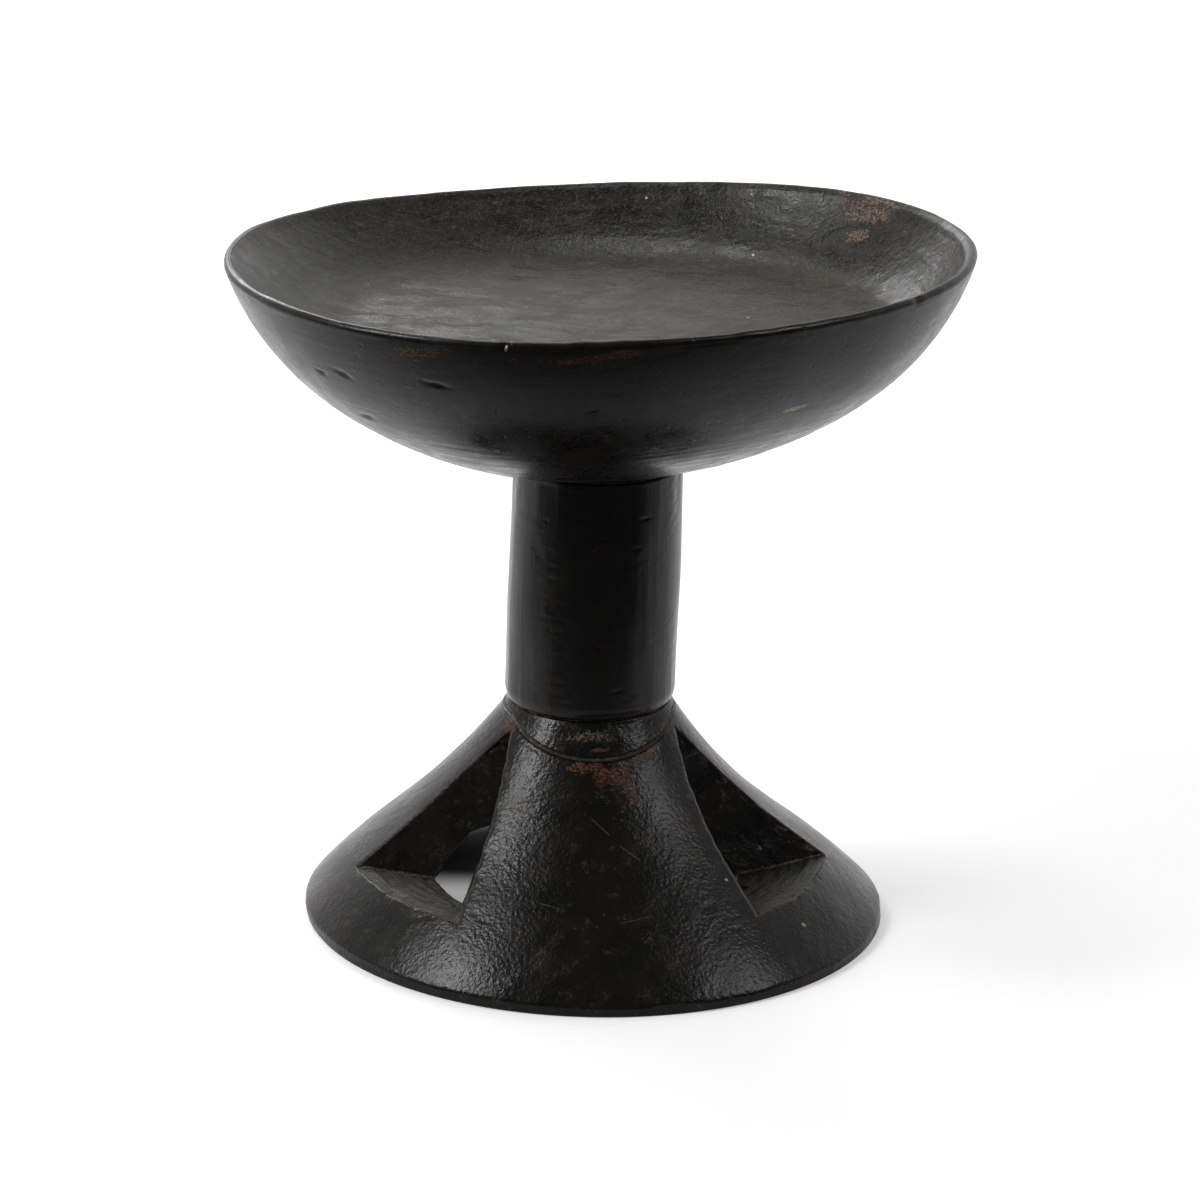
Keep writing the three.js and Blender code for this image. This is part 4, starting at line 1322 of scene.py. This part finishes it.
# %% Stem wood
REDDISH = [((-18.7, -25.7, 87.4), (1, -0.6, 0), 2.6, 0.6),
           ((10.7, -27.7, 88.6), (1, 0.3, 0), 2.8, 0.6),
           ((-13.2, -28.7, 88.2), (1, -0.3, 0), 1.8, 0.5)]
LIGHT_CUTS = [((12.5, -28.6, 160.5), (19.8, -24.0, 158.2), 0.25),
              ((-20.0, -24.2, 141.0), (-15.5, -27.5, 139.0), 0.2),
              ((22.5, -20.6, 120.0), (24.0, -18.6, 112.0), 0.22),
              ((-24.5, -18.6, 118.0), (-20.0, -24.0, 121.0), 0.2),
              ((4.0, -30.9, 145.0), (5.0, -30.7, 136.0), 0.16),
              ((24.5, -19.0, 152.0), (26.5, -15.5, 150.0), 0.22)]
stem_wood, bench = start_material("handled_stem_black")
place = bench.place()
along = bench.noise(bench.vector("MULTIPLY", place, (1, 1, 0.09)), 1.6, 2.0, 0.5)
grain = bench.noise(bench.vector("MULTIPLY", place, (1, 1, 0.16)), 0.7, 2.0, 0.5)
crumb = bench.noise(place, 3.0, 3.0, 0.6)
cuts = bench.times(scratches(bench, crumb, LIGHT_CUTS), 0.35)
rub = bench.times(bench.mark("arris"), bench.step(crumb, 0.50, 0.66))
brown = bench.larger(bench.times(spots(bench, crumb, REDDISH, 0.6), 0.8), bench.times(rub, 0.25))
toe_dust = bench.times(bench.step(bench.parts(place)["Z"], 87.0, 84.6), 0.25)
black = bench.use(skin_group, Dust=bench.larger(cuts, toe_dust), Brown=brown,
                  Fibre=bench.times_plus(grain, 2.0, -1.0))
height = add_layers(bench, bench.times(grain, 0.03),
                    ((along, 0.07), (cuts, -0.12), (black["Height"], 1.0)))
finish_material("stem", bench, black["Color"], bench.minus(black["Roughness"], 0.06), height)

# %% [markdown]
# ### The putty
#
# The joints were closed with gum and wood dust. It has dried to a dull tan crumb, dark where
# oil has soaked in, and it has fallen out in places and left a black gap.

# %% Putty
putty, bench = start_material("gum_and_wood_dust")
place = bench.place()
crumb = bench.noise(place, 0.8, 3.0, 0.6)
dry = bench.step(bench.noise(place, 5.0, 3.0, 0.6), 0.47, 0.64)
# painted light: the tan share grows towards the left, the lamp's side; the tan and the oiled dark
# are the putty's own colours
painted_lit_side = bench.step(bench.parts(place)["X"], 8.0, -26.0)
low_down = bench.step(bench.parts(place)["Z"], 160.0, 120.0)
tan = bench.blend(bench.step(crumb, 0.35, 0.65), (0.030, 0.022, 0.015), (0.300, 0.250, 0.190))
oiled = bench.blend(crumb, (0.004, 0.003, 0.003), (0.045, 0.033, 0.024))
share = bench.times(dry, bench.times_plus(painted_lit_side, 0.7, 0.2))
color = bench.blend(bench.times(share, bench.times_plus(low_down, 0.8, 0.2)), oiled, tan)
dryness = bench.times_plus(share, 0.35, bench.times_plus(crumb, 0.2, 0.35))
finish_material("putty", bench, color, dryness, bench.times(crumb, 0.4))

for piece, material in ((dish, plate_wood), (foot, foot_wood), (collar, foot_wood),
                        (stem, stem_wood), (upper_putty, putty), (lower_putty, putty),
                        (split_putty, putty)):
    piece.data.materials.append(material)

# %% [markdown]
# ## Floor, light and camera
#
# A plain pale floor and soft lamps, as in a small studio. The camera stands where the
# photographer stood: 1.55 m in front and looking a little down.

# %% Floor
# The camera and any glossy surface see the floor a little lighter than the lamps alone make
# it, so that it is white and still keeps the plate's shadow. Under the back of the foot, where
# the notches look in, nothing is added and the floor's colour is painted dark: painted shade.
# Under the front of the foot the floor is painted lighter and glows: painted light, for light
# that falls in through the notches. To every ray but the camera's, the floor in front of the
# plate is painted dark: painted shade, for the photographer and an unlit room.
FLOOR_REACH = 12.0
FLOOR_WHITE, FLOOR_SHADED = (0.85, 0.85, 0.85), (0.12, 0.12, 0.12)
floor_mesh = bpy.data.meshes.new("studio_floor")
floor_mesh.from_pydata([(-FLOOR_REACH, -FLOOR_REACH, 0), (FLOOR_REACH, -FLOOR_REACH, 0),
                        (FLOOR_REACH, FLOOR_REACH, 0), (-FLOOR_REACH, FLOOR_REACH, 0)],
                       [], [(0, 1, 2, 3)])
floor = bpy.data.objects.new("studio_floor", floor_mesh)
bpy.context.scene.collection.objects.link(floor)
pale_floor, bench = start_material("pale_floor")
spot_on_floor = bench.put("TexCoord", {}).outputs["Object"]
to_back = bench.parts(spot_on_floor)["Y"]
off_middle_of_floor = bench.vector("LENGTH", spot_on_floor, output="Value")
path = bench.put("LightPath", {}).outputs
lit = bench.larger(path["Is Camera Ray"], bench.step(to_back, -0.32, 0.03))
# painted light: under the front of the foot the floor is painted lighter and glows, for light
# falling in through the notches
painted_light_under_foot = bench.times(bench.step(to_back, 0.036, 0.012), 0.95)
out_of_painted_shade = bench.larger(bench.step(off_middle_of_floor, 0.085, 0.112), painted_light_under_foot)
far_away = bench.step(off_middle_of_floor, 0.5, 2.5)
added = bench.times(out_of_painted_shade, bench.times_plus(far_away, 0.3, 0.34))
seen = bench.most([path["Is Camera Ray"], path["Is Glossy Ray"], path["Is Transmission Ray"]])
shader = bench.tree.nodes["Principled BSDF"]
shader.inputs["Roughness"].default_value = 0.9
shader.inputs["Specular IOR Level"].default_value = 0.1
shader.inputs["Emission Color"].default_value = (1, 1, 1, 1)
# painted shade: the floor's colour is painted dark under the back of the foot and, for all but
# camera rays, in front of the plate
bench.plug(shader.inputs["Base Color"], bench.blend(
    bench.times(lit, bench.times_plus(out_of_painted_shade, 0.85, 0.15)), FLOOR_SHADED, FLOOR_WHITE))
bench.plug(shader.inputs["Emission Strength"], bench.times(bench.times(seen, lit), added))
floor_mesh.materials.append(pale_floor)
print(f"pale floor: {2 * FLOOR_REACH:.0f} m across, {len(bench.tree.nodes)} nodes")

# %% [markdown]
# ### Light
#
# The plate was photographed with a white room behind it and beside it, and a dark one behind
# the camera. On a glossy black thing this decides everything: what you see on it is mostly the
# room. So for reflections the world is bright behind the plate and nearly black in front of
# it, while the camera itself sees plain white. Soft lamps stand at the left, at the right,
# behind and above.

# %% World and lamps
world = bpy.data.worlds.new("studio")
bpy.context.scene.world = world
world.use_nodes = True
bench = Bench(world.node_tree)
heading = bench.parts(bench.put("TexCoord", {}).outputs["Generated"])
behind = bench.step(heading["Y"], -0.45, 0.92)
overhead = bench.step(heading["Z"], 0.35, 0.95)
level = bench.times(bench.times_plus(behind, 0.93, 0.045), bench.times_plus(overhead, -0.45, 1.0))
level = bench.larger(level, bench.put("LightPath", {}).outputs["Is Camera Ray"])
room = world.node_tree.nodes["Background"]
room.inputs["Color"].default_value = (1, 1, 1, 1)
bench.plug(room.inputs["Strength"], level)


def soft_lamp(name, place, aim, size, watts):
    light = bpy.data.lights.new(name, "AREA")
    light.shape = "RECTANGLE"
    light.size, light.size_y = size
    light.energy = watts
    lamp = bpy.data.objects.new(name, light)
    lamp.location = place
    lamp.rotation_mode = "QUATERNION"
    lamp.rotation_quaternion = (Vector(aim) - Vector(place)).to_track_quat("-Z", "Y")
    bpy.context.scene.collection.objects.link(lamp)
    print(f"{name}: {watts} W at {Vector(place).length:.2f} m")


soft_lamp("left_lamp", (-1.2, -0.36, 1.3), (0, 0, 0.1), (0.4, 0.7), 18)
soft_lamp("back_lamp", (-0.55, 1.5, 0.95), (0, 0, 0.2), (0.8, 0.6), 8)
soft_lamp("high_lamp", (-0.28, 0.46, 1.5), (0, 0, 0.05), (0.4, 0.4), 5)
soft_lamp("right_lamp", (1.2, -0.30, 1.3), (0, 0, 0.1), (0.5, 0.6), 6)

# %% Camera
IMAGE_SIZE, FOCAL_PIXELS = 1200, 4448.5
YAW, PITCH, ROLL = 0.00102, math.radians(18.085), math.radians(0.80)
camera_data = bpy.data.cameras.new("camera")
camera_data.sensor_width = 36.0
camera_data.lens = camera_data.sensor_width * FOCAL_PIXELS / IMAGE_SIZE
camera = bpy.data.objects.new("camera", camera_data)
ahead = Vector((math.sin(YAW) * math.cos(PITCH), math.cos(YAW) * math.cos(PITCH),
                -math.sin(PITCH)))
right = Vector((math.cos(YAW), -math.sin(YAW), 0))
up = right.cross(ahead)
across = right * math.cos(ROLL) + up * math.sin(ROLL)
upright = up * math.cos(ROLL) - right * math.sin(ROLL)
camera.matrix_world = Matrix((across, upright, -ahead)).transposed().to_4x4()
camera.location = (-0.000177, -1.547569, 0.6262)
bpy.context.scene.collection.objects.link(camera)
bpy.context.scene.camera = camera
bpy.context.scene.view_settings.view_transform = "Standard"
print(f"The camera's lens is {camera_data.lens:.0f} mm")
